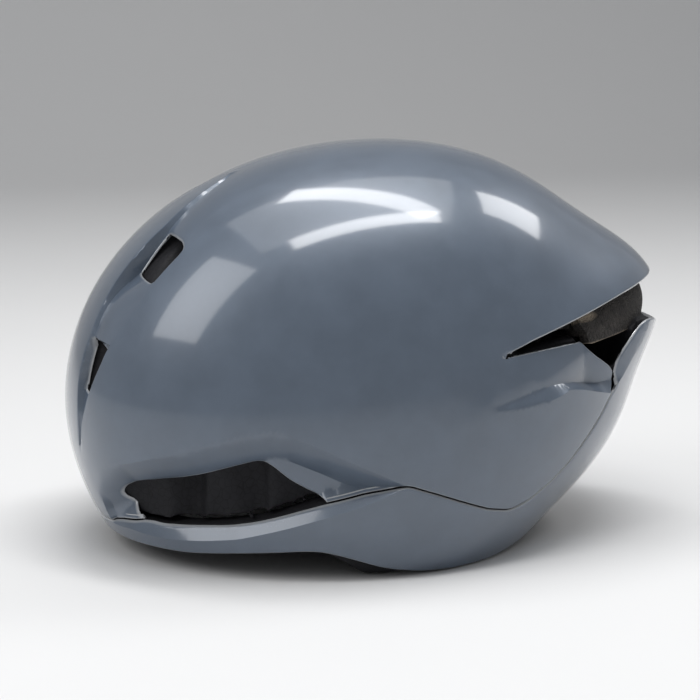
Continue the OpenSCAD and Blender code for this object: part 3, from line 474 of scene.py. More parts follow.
def scoop_floors(x, z):
    """Depths of the scoop's two flat floors, which meet in a crest behind its tip."""
    along = np.minimum(x, SCOOP_BEND + 5) - SCOOP_TIP[0]
    below = z - SCOOP_TIP[1]
    return [a * along + b * below for a, b in (SCOOP_STEEP, SCOOP_FLAT)]


def scoop_bend_at(z):
    return SCOOP_BEND + SCOOP_BEND_LEAN * (SCOOP_BEND_Z - z)


def scoop_depth(x, z, full):
    """Deepest at the bend, from where it rises towards the seam."""
    if not SCOOP_START <= x <= SCOOP_END:
        return 0.0
    rise = ramp(z, lookup(SCOOP_FOOT, x), lookup(SCOOP_LEDGE, x))
    top = 1 - ramp(z, lookup(SCOOP_TOP, x), lookup(SCOOP_TOP, x) + 2)
    end = 1 - SCOOP_FADE * ramp(x, scoop_bend_at(z), SCOOP_FADE_END)
    return full / SCOOP_DRAWN * max(0.0, *scoop_floors(x, z)) * rise * top * end


def band_depth(x, z, full):
    """The rear rim's bevelled band, from the scoop's depth at the seam to nothing at its crease."""
    if x < BAND_X or z < BAND_LOW or z > BAND_HIGH:
        return 0.0
    crease = lookup(BAND_CREASE, z)
    return full * lookup(BAND_SHARE, z) * clamp((crease - x) / max(1.0, crease - lookup(BAND_INNER, z)))


def carved_depth(x, y, z, shell, upper):
    """How far the grooves, troughs, scoops and the rear band lie below the surface."""
    angle = polar(x, z)[1] % 360
    depth = groove_depth(angle, y, shell.groove / MM)
    if y > SHOULDER_Y:
        depth += trough_depth(x, z, shell.trough / MM)
        if upper:
            depth += scoop_depth(x, z, shell.scoop / MM)
    if not upper:
        depth += band_depth(x, z, shell.band / MM)
    return depth


def rolled(distance, radius):
    """Drop of a rounded edge at a distance from it."""
    if distance >= radius:
        return 0.0
    return radius * (1 - math.sqrt(max(0.0, 1 - (1 - max(0.0, distance) / radius) ** 2)))


# The shell mesh


def fan_point(turn, lean):
    """Where a ray from below the helmet leaves the shell surface."""
    t = math.radians(turn)
    b = math.radians(lean)
    ray = Vector((math.cos(t) * math.cos(b), -math.sin(b), math.sin(t) * math.cos(b)))
    start = Vector((0, 0, FAN_Z))
    outer = FAN_REACH
    best = (1e9, outer)
    inner = None
    while outer > FAN_LEAST:
        value = surface_value(*(start + ray * outer))
        best = min(best, (value, outer))
        if value < 1:
            inner = outer
            break
        outer -= FAN_STEP
    if inner is None:
        return start + ray * best[1]
    outer = inner + FAN_STEP
    for _ in range(16):
        middle = (inner + outer) / 2
        if surface_value(*(start + ray * middle)) < 1:
            inner = middle
        else:
            outer = middle
    return start + ray * inner


def even_steps(point_at, low, high, step):
    """Angles at which the points along one line are evenly spaced."""
    count = 240
    angles = [low + (high - low) * i / count for i in range(count + 1)]
    points = [point_at(a) for a in angles]
    run = [0.0]
    for p, q in zip(points, points[1:]):
        run.append(run[-1] + (q - p).length)
    pieces = round(run[-1] / step)
    out = []
    j = 0
    for i in range(pieces + 1):
        want = run[-1] * i / pieces
        while j < count - 1 and run[j + 1] < want:
            j += 1
        share = (want - run[j]) / (run[j + 1] - run[j])
        out.append(angles[j] + (angles[j + 1] - angles[j]) * share)
    return out


def places(bm):
    """Vertices of a mesh with their x, distance from the middle and z."""
    verts = list(bm.verts)
    spots = np.array([v.co[:] for v in verts])
    return verts, spots[:, 0], -spots[:, 1], spots[:, 2]


def angles_of(x, z):
    return np.degrees(np.arctan2(z - CENTRE[1], x - CENTRE[0])) % 360


def cut_along(bm, measure, level, snap=0.22):
    """Runs a line of edges where measure crosses a level. It is nan where it doesn't apply."""
    verts, x, y, z = places(bm)
    values = dict(zip(verts, (measure(x, y, z) - level).tolist()))
    for edge in bm.edges:
        a, b = edge.verts
        va, vb = values[a], values[b]
        if not va * vb < 0:
            continue
        share = va / (va - vb)
        near = a if share < 0.5 else b
        far_share = min(share, 1 - share)
        if far_share < 0.03:
            values[near] = 0.0
        elif far_share < snap and not near.tag:
            near.co = a.co.lerp(b.co, share)
            values[near] = 0.0
    for edge in [e for e in bm.edges if values[e.verts[0]] * values[e.verts[1]] < 0]:
        a, b = edge.verts
        share = values[a] / (values[a] - values[b])
        values[bmesh.utils.edge_split(edge, a, share)[1]] = 0.0
    for face in list(bm.faces):
        corners = [v for v in face.verts if values[v] == 0.0]
        if len(corners) > 1:
            split_face(face, corners, values)
    for v, value in values.items():
        if value == 0.0:
            v.tag = True


def split_face(face, corners, values):
    """Connects the two zero corners that have both signs between them."""
    ring = list(face.verts)
    n = len(ring)
    for i, a in enumerate(corners):
        for b in corners[i + 1:]:
            ia, ib = ring.index(a), ring.index(b)
            if (ib - ia) % n in (1, n - 1):
                continue
            one = [values[ring[(ia + k) % n]] for k in range(1, (ib - ia) % n)]
            two = [values[ring[(ib + k) % n]] for k in range(1, (ia - ib) % n)]
            if sum(one) * sum(two) < 0:
                bmesh.utils.face_split(face, a, b)
                return


def along_line(line, low, high):
    """Height above a side-view line between two places along it."""
    xs, zs = zip(*line)

    def measure(x, y, z):
        return np.where((x > low) & (x < high), z - np.interp(x, xs, zs), np.nan)
    return measure


def beside_line(line, low, high):
    """Distance outside a line that is given by angle."""
    angles, ys = zip(*line)

    def measure(x, y, z):
        turn = angles_of(x, z)
        return np.where((turn > low) & (turn < high), y - np.interp(turn, angles, ys), np.nan)
    return measure


def opening(outline, view):
    """Depth in the outline of an opening, or nan away from the side that it is cut from."""
    def measure(x, y, z):
        cut = {"front": x < FRONT_X, "side": y > VENT_Y, "rear": x > ARCH_X}[view]
        return np.where(cut, outline.depth(x if view == "side" else y, z), np.nan)
    return measure


def clear_of(outline, view):
    """Distance from an opening, positive outside it."""
    depth = opening(outline, view)
    return lambda x, y, z: -np.nan_to_num(depth(x, y, z), nan=-Outline.REACH)


def inside(outline, gap=0.0):
    """Depth in an outline of the side view, less half the gap to its neighbour."""
    return lambda x, y, z: outline.depth(x, z) - gap


def trough_floor(full):
    """Where a trough's slope meets its floor or its foot."""
    def measure(x, y, z):
        top = TROUGH_SLOPE * (np.interp(x, *zip(*TROUGH_TOP)) - z)
        foot = TROUGH_RISE * (z - np.interp(x, *zip(*TROUGH_FOOT)))
        beside = (y > SHOULDER_Y) & (x > TROUGH_START + 3) & (x < TROUGH_END - 6)
        held = beside & (z < TROUGH_CREST_Z) & (foot > 0)
        return np.where(held, top - np.minimum(full, foot), np.nan)
    return measure


def scoop_crest(x, y, z):
    steep, flat = scoop_floors(x, z)
    held = (x > SCOOP_TIP[0]) & (x < SCOOP_CREST_END) & (z > SCOOP_LOW) & (z < SCOOP_CREST_TOP)
    return np.where(held, steep - flat, np.nan)


def scoop_bend(x, y, z):
    return np.where((z > SCOOP_LOW) & (z < SCOOP_HIGH), x - scoop_bend_at(z), np.nan)


def band_crease(x, y, z):
    heights, creases = zip(*BAND_CREASE)
    held = (z > BAND_LOW) & (z < BAND_CREASE_END) & (x > BAND_X - 1)
    return np.where(held, x - np.interp(z, heights, creases), np.nan)


def panel_top(x, y, z):
    held = (y > PANEL_INNER) & (y < PANEL_OUTER) & (x < PANEL_X) & (z < PANEL_Z)
    return np.where(held, angles_of(x, z), np.nan)


def shell_lines(shell):
    """What the shell mesh needs as edges: a measure and the levels to cut it at."""
    gap = shell.panel_gap / MM / 2
    radius = shell.edge_radius / MM
    roll = [share * radius for share in (0.0, 0.15, 0.5, 1.0)]
    lines = [
        (panel_top, PANEL_EDGES),
        (beside_line(STRIP_EDGE, *STRIP_CUT), (0.0, 1.0, -0.35 * radius, -radius)),
        (beside_line(GROOVE_EDGE, *GROOVE_CUT), (0.0,)),
        (beside_line(GROOVE_EDGE, *PANEL_CUT), (-1.0,)),
        (along_line(TROUGH_TOP, TROUGH_START + 1, TROUGH_END - 1), (0.0,)),
        (along_line(TROUGH_FOOT, TROUGH_START + 1, TROUGH_END - 1), (0.0,)),
        (trough_floor(shell.trough / MM), (0.0,)),
        (along_line(SCOOP_FOOT, SCOOP_START + 1, SCOOP_END), (0.0,)),
        (along_line(SCOOP_LEDGE, SCOOP_START + 1, SCOOP_END), (0.0,)),
        (scoop_crest, (0.0,)),
        (scoop_bend, (0.0,)),
        (band_crease, (0.0,)),
    ]
    for outline, view in OPENINGS:
        lines.append((opening(outline, view), [-r for r in roll]))
    lines.append((inside(CORE), (0.0,)))
    for outline in (UPPER, LOWER):
        lines.append((inside(outline), [gap + r for r in roll]))
    return lines


def shell_surface(shell):
    """Half of the shell surface as a grid, cut along every edge, crease and seam."""
    turns = even_steps(lambda a: fan_point(a, 0), FAN_START, FAN_END, shell.mesh_step / MM)
    leans = even_steps(lambda a: fan_point(FAN_MIDDLE, a), 0, FAN_SIDE, shell.mesh_step / MM)
    bm = bmesh.new()
    bmesh.ops.create_grid(bm, x_segments=len(turns) - 1, y_segments=len(leans) - 1, size=1)
    for v in bm.verts:
        i = round((v.co.x + 1) / 2 * (len(turns) - 1))
        j = round((v.co.y + 1) / 2 * (len(leans) - 1))
        v.co = fan_point(turns[i], leans[j])
        v.tag = j == 0
    for measure, levels in shell_lines(shell):
        for level in levels:
            cut_along(bm, measure, level)
    return bm


def nearest_edge(edges, x, y, z):
    return np.min([edge(x, y, z) for edge in edges], axis=0)


def cut_out(surface, edges):
    """A copy of the surface with only the faces that lie inside all the edges."""
    bm = surface.copy()
    faces = list(bm.faces)
    middles = np.array([f.calc_center_median()[:] for f in faces])
    kept = nearest_edge(edges, middles[:, 0], -middles[:, 1], middles[:, 2]) > 0
    bmesh.ops.delete(bm, geom=[f for f, keep in zip(faces, kept) if not keep], context="FACES")
    return bm


def shell_part(surface, shell, edges, upper):
    """Half a shell, carved and with rounded edges."""
    bm = cut_out(surface, edges)
    radius = shell.edge_radius / MM
    rim = bm.verts.layers.float.new("rim")
    verts, x, y, z = places(bm)
    near = np.maximum(0.0, nearest_edge(edges, x, y, z)).tolist()
    strip = (np.interp(angles_of(x, z), *zip(*STRIP_EDGE)) - y).tolist()
    for v, distance, inner in zip(verts, near, strip):
        angle = polar(v.co.x, v.co.z)[1] % 360
        move = carved_depth(v.co.x, max(0.0, -v.co.y), v.co.z, shell, upper) + rolled(distance, radius)
        if upper and STRIP_TOP < angle < STRIP_FOOT and inner >= 0:
            move += rolled(inner, radius) * ramp(angle, STRIP_TOP, STRIP_TOP + 12)
        # Mask near the cut edges for the wear specks and the painted edge highlight
        v[rim] = clamp(1 - distance / RIM_REACH)
        v.co = v.co - surface_normal(*v.co) * move
    return settled(bm, SHELL_CREASE)


def core_face(surface, depth):
    """Half of the tail core's face, set back from the shell surface by a depth."""
    bm = cut_out(surface, [inside(CORE)])
    rim = bm.verts.layers.float.new("rim")
    lowest = min(v.co.z for v in bm.verts)
    for v in bm.verts:
        from_spot = [(at - spot) / size for at, spot, size in zip(v.co.xz, PALE_SPOT, PALE_SPOT_SIZE)]
        # Painted highlight along the lower edge, and the pale spot under the lip
        v[rim] = clamp(max(1 - (v.co.z - lowest) / EDGE_HIGHLIGHT_REACH, 1.6 - math.hypot(*from_spot)))
        v.co = v.co - surface_normal(*v.co) * depth
    return settled(bm, FOAM_CREASE)


def settled(bm, sharp):
    """A drawn mesh in the model's frame, with the edges marked that are sharper than an angle."""
    bmesh.ops.translate(bm, vec=(0, 0, -FOOT), verts=bm.verts)
    bmesh.ops.scale(bm, vec=(MM, MM, MM), verts=bm.verts)
    bmesh.ops.recalc_face_normals(bm, faces=bm.faces)
    for face in bm.faces:
        face.smooth = True
    for edge in bm.edges:
        edge.smooth = len(edge.link_faces) == 2 and edge.calc_face_angle(0.0) < math.radians(sharp)
    return bm


def new_object(name, bm, slot):
    mesh = bpy.data.meshes.new(name)
    bm.to_mesh(mesh)
    bm.free()
    mesh.materials.append(finish(slot))
    thing = bpy.data.objects.new(name, mesh)
    bpy.context.scene.collection.objects.link(thing)
    return thing


def add_piece(name, bm, slot, body, replaced):
    """A piece in the model's frame that rides a body, takes a slot's finish and may replace a node."""
    piece = new_object(name, bm, slot)
    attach(piece, body)
    if replaced:
        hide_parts(replaced)
    return piece


def modify(piece, name, kind, **settings):
    made = piece.modifiers.new(name, kind)
    for key, value in settings.items():
        setattr(made, key, value)


def soften(piece, name, width, degrees, **settings):
    """Rounds the edges that are sharper than an angle."""
    modify(piece, name, "BEVEL", width=width, segments=2, limit_method="ANGLE",
           angle_limit=math.radians(degrees), **settings)


def make_whole(piece, thickness):
    """Mirrors a half and gives it its thickness inwards."""
    across = (False, True, False)
    modify(piece, "Other half", "MIRROR", use_axis=across, use_clip=True, merge_threshold=WELD)
    modify(piece, "Wall", "SOLIDIFY", thickness=thickness, offset=-1)
    modify(piece, "Even shading", "WEIGHTED_NORMAL", keep_sharp=True)


# Pads and webbing


def head_spot(angle, y):
    """A point of the head space at an angle and a distance from the middle."""
    r = spline(HEAD_R, angle) * (1 - (abs(y) / HEAD_HALF_W) ** HEAD_POWER) ** (1 / HEAD_POWER)
    t = math.radians(angle)
    return Vector((HEAD_CENTRE[0] + r * math.cos(t), y, HEAD_CENTRE[1] + r * math.sin(t)))


def head_half(x, z):
    """Half width of the head space."""
    r = math.hypot(x - HEAD_CENTRE[0], z - HEAD_CENTRE[1])
    angle = math.degrees(math.atan2(z - HEAD_CENTRE[1], x - HEAD_CENTRE[0]))
    return HEAD_HALF_W * (1 - clamp(r / spline(HEAD_R, angle)) ** HEAD_POWER) ** (1 / HEAD_POWER)


def side_spot(x, z, side):
    return Vector((x, side * head_half(x, z), z))


def nape_spot(y, rise, side):
    """A point of the cradle's inner face."""
    return Vector((71.7 - y * y / 420, side * y, 21 + y / 8 + rise))


def inward(spot):
    return Vector((HEAD_CENTRE[0] - spot.x, -1.6 * spot.y, HEAD_CENTRE[1] - spot.z)).normalized()


def forward(spot):
    return Vector((-1, 0, 0))


def corner_drawn(u, v, length, width):
    """Place on a pad whose corners are drawn in to arcs."""
    a, b = 2 * u - 1, 2 * v - 1
    radius = 0.32 * min(length, width)
    in_a = 0.58 * radius / length * abs(b) ** (1.2 * width / radius)
    in_b = 0.58 * radius / width * abs(a) ** (1.2 * length / radius)
    return (a * (1 - in_a) + 1) / 2, (b * (1 - in_b) + 1) / 2


def pad_height(u, v, length, width, thick):
    """Crowned filling with a sewn border and quilted channels across."""
    edge = min(u * length, (1 - u) * length, v * width, (1 - v) * width)
    if edge < PAD_BORDER:
        bead = 1 - ((edge - PAD_BORDER / 2) / (PAD_BORDER / 2)) ** 2
        return 0.35 + 0.3 * thick * math.sqrt(max(0.0, bead))
    a, b = abs(2 * u - 1), abs(2 * v - 1)
    crown = 0.3 + 0.7 * math.sqrt((1 - a ** 4) * (1 - b ** 4))
    pieces = max(1, round(length / PAD_CHANNEL))
    channel = 0.0
    if 0.5 / pieces < u < 1 - 0.5 / pieces:
        from_channel = abs((u * pieces + 0.5) % 1 - 0.5) * length / pieces
        channel = 0.26 * thick * math.exp(-((from_channel / 1.5) ** 2))
    return thick * crown * ramp(edge, PAD_BORDER - 1.2, PAD_BORDER + 2.6) ** 0.6 - channel


def cushion(name, spot, length, width, thick, body="helmet", face=inward):
    """A sewn pad. spot gives the base point for shares along and across, all in millimetres."""
    bm = bmesh.new()
    flat = bm.loops.layers.uv.new("UVMap")
    cells = round(length / PAD_CELL), round(width / PAD_CELL)
    bmesh.ops.create_grid(bm, x_segments=cells[0], y_segments=cells[1], size=1)
    risen = bmesh.ops.extrude_face_region(bm, geom=bm.faces[:], use_keep_orig=True)["geom"]
    front = {part for part in risen if isinstance(part, bmesh.types.BMVert)}
    for f in bm.faces:
        f.smooth = True
        for loop in f.loops:
            loop[flat].uv = ((loop.vert.co.x + 1) / 2 * length * MM, (loop.vert.co.y + 1) / 2 * width * MM)

    def top_at(u, v, rise):
        base = spot(*corner_drawn(u, v, length, width))
        return base + face(base) * rise

    for v in bm.verts:
        along, across = (v.co.x + 1) / 2, (v.co.y + 1) / 2
        rise = pad_height(along, across, length, width, thick) if v in front else -PAD_SINK
        v.co = top_at(along, across, rise)
    add_stitches(bm, top_at, length, width)
    bmesh.ops.scale(bm, vec=(MM, MM, MM), verts=bm.verts)
    bmesh.ops.recalc_face_normals(bm, faces=bm.faces)
    piece = add_piece(name.capitalize(), bm, "pad_cloth", body, name)


def add_stitches(bm, top_at, length, width):
    """Short threads along the seam inside the border."""
    inset_u, inset_v = PAD_BORDER / length, PAD_BORDER / width
    count_u, count_v = round(length / STITCH_STEP), round(width / STITCH_STEP)
    spots = [(inset_u + (1 - 2 * inset_u) * i / count_u, v, 1, 0)
             for i in range(count_u + 1) for v in (inset_v, 1 - inset_v)]
    spots += [(u, inset_v + (1 - 2 * inset_v) * i / count_v, 0, 1)
              for i in range(1, count_v) for u in (inset_u, 1 - inset_u)]
    for u, v, du, dv in spots:
        place = top_at(u, v, STITCH_RISE)
        along = (top_at(u + 0.01 * du, v + 0.01 * dv, STITCH_RISE) - place).normalized()
        up = (top_at(u, v, STITCH_RISE + 1) - place).normalized()
        side = up.cross(along).normalized()
        thread = Matrix([axis * half for axis, half in zip((along, side, up), STITCH_HALF)])
        turned = Matrix.Translation(place) @ thread.transposed().to_4x4()
        bmesh.ops.create_uvsphere(bm, u_segments=6, v_segments=4, radius=1, matrix=turned)


def path_points(marks, step):
    """Points, across directions and widths along a smooth line through the marks."""
    out = []
    for i in range(len(marks) - 1):
        p0, p1, p2, p3 = (marks[min(max(i + k, 0), len(marks) - 1)] for k in (-1, 0, 1, 2))
        count = max(2, round((p2[0] - p1[0]).length / step))
        for j in range(count + (i == len(marks) - 2)):
            t = j / count
            spot = 0.5 * (
                2 * p1[0] + (p2[0] - p0[0]) * t + (2 * p0[0] - 5 * p1[0] + 4 * p2[0] - p3[0]) * t * t
                + (3 * p1[0] - p0[0] - 3 * p2[0] + p3[0]) * t ** 3
            )
            out.append((spot, p1[1].lerp(p2[1], t), p1[2] + (p2[2] - p1[2]) * t))
    return out


def ribbon(name, marks, thick, body, slot, closed=False, step=1.0):
    """Webbing along marks of (point, across direction, width), all in millimetres."""
    line = path_points(marks, step)
    last = len(line) - 1
    bm = bmesh.new()
    flat = bm.loops.layers.uv.new("UVMap")
    bmesh.ops.create_grid(bm, x_segments=last, y_segments=WEB_ROWS, size=1)
    run = [0.0]
    for (p, _, _), (q, _, _) in zip(line, line[1:]):
        run.append(run[-1] + (q - p).length)
    for f in bm.faces:
        f.smooth = True
        for loop in f.loops:
            i = round((loop.vert.co.x + 1) / 2 * last)
            loop[flat].uv = (run[i] * MM, loop.vert.co.y / 2 * line[i][2] * MM)
    for v in bm.verts:
        i = round((v.co.x + 1) / 2 * last)
        spot, across, width = line[i]
        tangent = (line[min(i + 1, last)][0] - line[max(i - 1, 0)][0]).normalized()
        straight = (across - tangent * across.dot(tangent)).normalized()
        v.co = (spot + straight * (v.co.y / 2 * width)) * MM
    if closed:
        bmesh.ops.remove_doubles(bm, verts=bm.verts, dist=WELD)
    bmesh.ops.recalc_face_normals(bm, faces=bm.faces)
    piece = add_piece(name.capitalize(), bm, slot, body, name)
    modify(piece, "Weave", "SOLIDIFY", thickness=thick * MM, offset=0)
    soften(piece, "Selvedge", 0.3 * thick * MM, 50)


def side_strap_marks(anchor_x, anchor_z, slot_x, side, width):
    """From an anchor's face, turning flat, over the divider's edge and into its slot."""
    wall = head_half(anchor_x, anchor_z) - 2.7
    run = slot_x - anchor_x
    lean = Vector((abs(run) / run * (anchor_z - 12), 0, abs(run))).normalized()
    flat = Vector((abs(run) / run, 0, 0))
    stops = (
        (anchor_x, wall, anchor_z, 0.0, 1.0), (anchor_x + 0.3 * run, wall - 1.2, anchor_z - 1.6, 0.1, 1.0),
        (anchor_x + 0.72 * run, 0.5 * (wall + 60), 14.6, 0.6, 1.0), (slot_x, 60.5, 12.3, 0.95, 1.0),
        (slot_x, 57.2, 11.8, 1.0, 0.8), (slot_x, 56.1, 10.4, 1.0, 0.77), (slot_x, 56.0, 8.4, 1.0, 0.77),
    )
    return [(Vector((x, side * y, z)), lean.lerp(flat, turn).normalized(), share * width)
            for x, y, z, turn, share in stops]


def chin_strap_marks(bar_y, side, width):
    """Doubled round a buckle bar, with both layers running out under the divider."""
    stops = [(47.0, 7.35), (40.0, 7.35), (30.0, 7.35), (bar_y + 4, 7.35)]
    for a in range(0, 181, 20):
        t = math.radians(a)
        stops.append((bar_y - BAR_TURN * math.sin(t), BUCKLE_Z + BAR_TURN * math.cos(t)))
    stops += [(bar_y + 4, 2.65), (bar_y + 10, 3.0), (34.0, 5.3), (39.0, 6.05), (44.0, 6.1)]
    return [(Vector((DIVIDER_X, side * y, z)), Vector((1, 0, 0)), width) for y, z in stops]


def keeper_marks(y):
    """Round the two layers of a chin strap."""
    half_w, half_h, r = 7.8, 3.65, 1.6
    stops = []
    for cx, cz, start in ((1, 1, 0), (-1, 1, 90), (-1, -1, 180), (1, -1, 270)):
        for a in range(start, start + 91, 30):
            t = math.radians(a)
            x = DIVIDER_X + cx * (half_w - r) + r * math.cos(t)
            stops.append((x, BUCKLE_Z + cz * (half_h - r) + r * math.sin(t)))
    stops.append(stops[0])
    return [(Vector((x, y, z)), Vector((0, 1, 0)), KEEPER_WIDTH) for x, z in stops]


# Materials


def feed(tree, made, inputs):
    """Sets the inputs of a node to values, or links them to sockets."""
    for key, value in inputs.items():
        if isinstance(value, bpy.types.NodeSocket):
            tree.links.new(value, made.inputs[key])
        else:
            made.inputs[key].default_value = value


def node(tree, kind, inputs=None, **settings):
    made = tree.nodes.new("ShaderNode" + kind)
    for key, value in settings.items():
        setattr(made, key, value)
    feed(tree, made, inputs or {})
    return made


def rgba(colour, gain=1.0):
    return (colour[0] * gain, colour[1] * gain, colour[2] * gain, 1.0)


def on_object(tree):
    return node(tree, "TexCoord").outputs["Object"]


def on_map(tree):
    return node(tree, "UVMap").outputs["UV"]


def noise(tree, place, scale, detail, roughness=0.5):
    inputs = {"Vector": place, "Scale": scale, "Detail": detail, "Roughness": roughness}
    return node(tree, "TexNoise", inputs).outputs["Fac"]


def worked(tree, operation, a, b):
    return node(tree, "Math", {0: a, 1: b}, operation=operation).outputs[0]


def ranged(tree, value, low, high, out_low=0.0, out_high=1.0, **settings):
    inputs = {"Value": value, "From Min": low, "From Max": high, "To Min": out_low, "To Max": out_high}
    return node(tree, "MapRange", inputs, **settings).outputs["Result"]


def mixed(tree, factor, first, second, **settings):
    inputs = {"Factor": factor, "A": first, "B": second}
    return node(tree, "Mix", inputs, data_type="RGBA", **settings).outputs["Result"]


def bumped(tree, height, strength, distance):
    inputs = {"Height": height, "Strength": strength, "Distance": distance}
    return node(tree, "Bump", inputs).outputs["Normal"]


def mottle(group, place, scale):
    """Soft patches round 0.5, and a mask of fine specks."""
    specks = noise(group, place, worked(group, "MULTIPLY", scale, 28.0), 2.0)
    return {"Value": noise(group, place, scale, 4.0, 0.6), "Specks": ranged(group, specks, 0.62, 0.72)}


def foam_beads(group, place, scale):
    """Moulded foam: pressed round cells with dark joints."""
    inputs = {"Vector": place, "Scale": scale}
    from_joint = node(group, "TexVoronoi", inputs, feature="DISTANCE_TO_EDGE").outputs["Distance"]
    return {
        "Height": ranged(group, from_joint, 0.0, 0.22, interpolation_type="SMOOTHSTEP"),
        "Joint": ranged(group, from_joint, 0.0, 0.06, 1.0, 0.0),
    }


def webbing_weave(group, place, scale):
    """Rows of slanted ribs across a strap, from a flat map in metres."""
    scaled = node(group, "VectorMath", {0: place, "Scale": scale}, operation="SCALE").outputs[0]
    split = node(group, "SeparateXYZ", {0: scaled}).outputs
    across = worked(group, "MULTIPLY", split["Y"], 1 / (RIB_ROW * MM))
    along = worked(group, "MULTIPLY", split["X"], 1 / (RIB_STEP * MM))
    slanted = worked(group, "ADD", along, worked(group, "PINGPONG", across, 1.0))
    ridge = worked(group, "MULTIPLY", worked(group, "PINGPONG", slanted, 0.5), 2.0)
    row = worked(group, "ADD", worked(group, "PINGPONG", across, 0.5), 0.5)
    return {"Height": worked(group, "MULTIPLY", worked(group, "POWER", ridge, 0.6), row), "Shade": ridge}


def pad_knit(group, place, scale):
    """Small staggered loops, from a flat map in metres."""
    scaled = node(group, "VectorMath", {0: place, "Scale": scale}, operation="SCALE").outputs[0]
    loops = node(group, "TexBrick", {
        "Vector": scaled, "Color1": (1, 1, 1, 1), "Color2": (0.8, 0.8, 0.8, 1), "Mortar": (0, 0, 0, 1),
        "Scale": 900.0, "Mortar Size": 0.12, "Mortar Smooth": 1.0, "Brick Width": 0.9, "Row Height": 0.7,
    })
    return {"Height": node(group, "SeparateColor", {0: loops.outputs["Color"]}).outputs["Red"]}


EFFECTS = {"Mottle": mottle, "Foam Beads": foam_beads, "Webbing Weave": webbing_weave, "Pad Knit": pad_knit}


def build_effect(name):
    """A node group with a place and a scale, and an output for each value that its function gives."""
    group = bpy.data.node_groups.new(name, "ShaderNodeTree")
    for label, kind in (("Vector", "NodeSocketVector"), ("Scale", "NodeSocketFloat")):
        group.interface.new_socket(name=label, in_out="INPUT", socket_type=kind)
    start = group.nodes.new("NodeGroupInput")
    end = group.nodes.new("NodeGroupOutput")
    results = EFFECTS[name](group, start.outputs["Vector"], start.outputs["Scale"])
    for label in results:
        group.interface.new_socket(name=label, in_out="OUTPUT", socket_type="NodeSocketFloat")
    feed(group, end, results)
    return group


def effect(tree, name, place, scale):
    """The outputs of a shared effect, whose node group is built once."""
    group = bpy.data.node_groups.get(name) or build_effect(name)
    return node(tree, "Group", {"Vector": place, "Scale": scale}, node_tree=group).outputs


def shell_paint(tree, shader):
    """Clear-coated paint with fine flakes, worn rims and pale cut edges, which are partly bare plastic and
    partly a painted highlight.
    """
    shell = bpy.context.scene.helmet_shell
    place = on_object(tree)
    patches = effect(tree, "Mottle", place, 55.0)
    rim = node(tree, "Attribute", attribute_name="rim").outputs["Fac"]
    even = ranged(tree, patches["Value"], 0.35, 0.65)
    paint = mixed(tree, even, rgba(shell.paint, 0.94), rgba(shell.paint, 1.06))
    worn = mixed(tree, worked(tree, "MULTIPLY", rim, patches["Specks"]), paint, rgba(shell.paint, 1.5))
    feed(tree, shader, {
        # Painted highlight on the last fraction of a millimetre of each cut edge, partly bare plastic
        "Base Color": mixed(tree, ranged(tree, rim, 0.84, 0.97, 0.0, 0.8), worn, rgba(shell.bare_and_highlit_edge)),
        "Metallic": 0.15,
        "Roughness": ranged(tree, patches["Value"], 0.3, 0.7, 0.33, 0.42),
        "Coat Weight": 1.0,
        "Coat Roughness": 0.09,
        "Coat IOR": 1.5,
        "Normal": bumped(tree, noise(tree, place, 4200.0, 1.0), 0.06, 0.02 * MM),
    })


def liner_foam(tree, shader):
    """Dark moulded foam with its beads pressed flat."""
    colour = bpy.context.scene.helmet_foam.liner
    place = on_object(tree)
    beads = effect(tree, "Foam Beads", place, 330.0)
    patches = effect(tree, "Mottle", place, 40.0)
    joint = ranged(tree, beads["Joint"], 0.0, 1.0, 0.0, 0.8)
    feed(tree, shader, {
        "Base Color": mixed(tree, joint, rgba(colour, 1.25), rgba(colour, 0.5)),
        "Roughness": ranged(tree, patches["Value"], 0.3, 0.7, 0.6, 0.8),
        "Specular IOR Level": 0.2,
        "Normal": bumped(tree, beads["Height"], 0.35, 0.12 * MM),
    })


def core_foam(tree, shader):
    """Coarse foam with a painted highlight along the lower edge of the core's face and a pale spot under
    the lip.
    """
    colour = bpy.context.scene.helmet_foam.core
    place = on_object(tree)
    lumps = noise(tree, place, 260.0, 6.0, 0.72)
    pores = effect(tree, "Foam Beads", place, 520.0)
    rim = node(tree, "Attribute", attribute_name="rim").outputs["Fac"]
    foam = mixed(tree, ranged(tree, lumps, 0.35, 0.65), rgba(colour, 0.55), rgba(colour, 1.9))
    feed(tree, shader, {
        # Painted highlight along the core face's lower edge, mixed in with the pale spot by the rim mask
        "Base Color": mixed(tree, ranged(tree, rim, 0.4, 1.0, 0.0, 0.8), foam, PALE_AND_HIGHLIGHT_FOAM),
        "Roughness": 0.85,
        "Normal": bumped(tree, worked(tree, "ADD", lumps, pores["Height"]), 0.8, 0.6 * MM),
    })


def pad_cloth(tree, shader):
    """Soft knitted cloth."""
    colour = bpy.context.scene.helmet_fit.cloth
    loops = effect(tree, "Pad Knit", on_map(tree), 1.0)["Height"]
    patches = effect(tree, "Mottle", on_object(tree), 60.0)["Value"]
    cloth = mixed(tree, loops, rgba(colour, 0.45), rgba(colour, 1.2))
    feed(tree, shader, {
        "Base Color": mixed(tree, 0.35, cloth, patches, blend_type="MULTIPLY"),
        "Roughness": 0.9,
        "Sheen Weight": 0.35,
        "Sheen Roughness": 0.5,
        "Normal": bumped(tree, loops, 0.5, 0.18 * MM),
    })


def webbing(tree, shader):
    """Woven strap."""
    colour = bpy.context.scene.helmet_straps.colour
    weave = effect(tree, "Webbing Weave", on_map(tree), 1.0)
    feed(tree, shader, {
        "Base Color": mixed(tree, weave["Shade"], rgba(colour, 0.5), rgba(colour, 1.35)),
        "Roughness": 0.68,
        "Sheen Weight": 0.25,
        "Normal": bumped(tree, weave["Height"], 0.7, 0.2 * MM),
    })


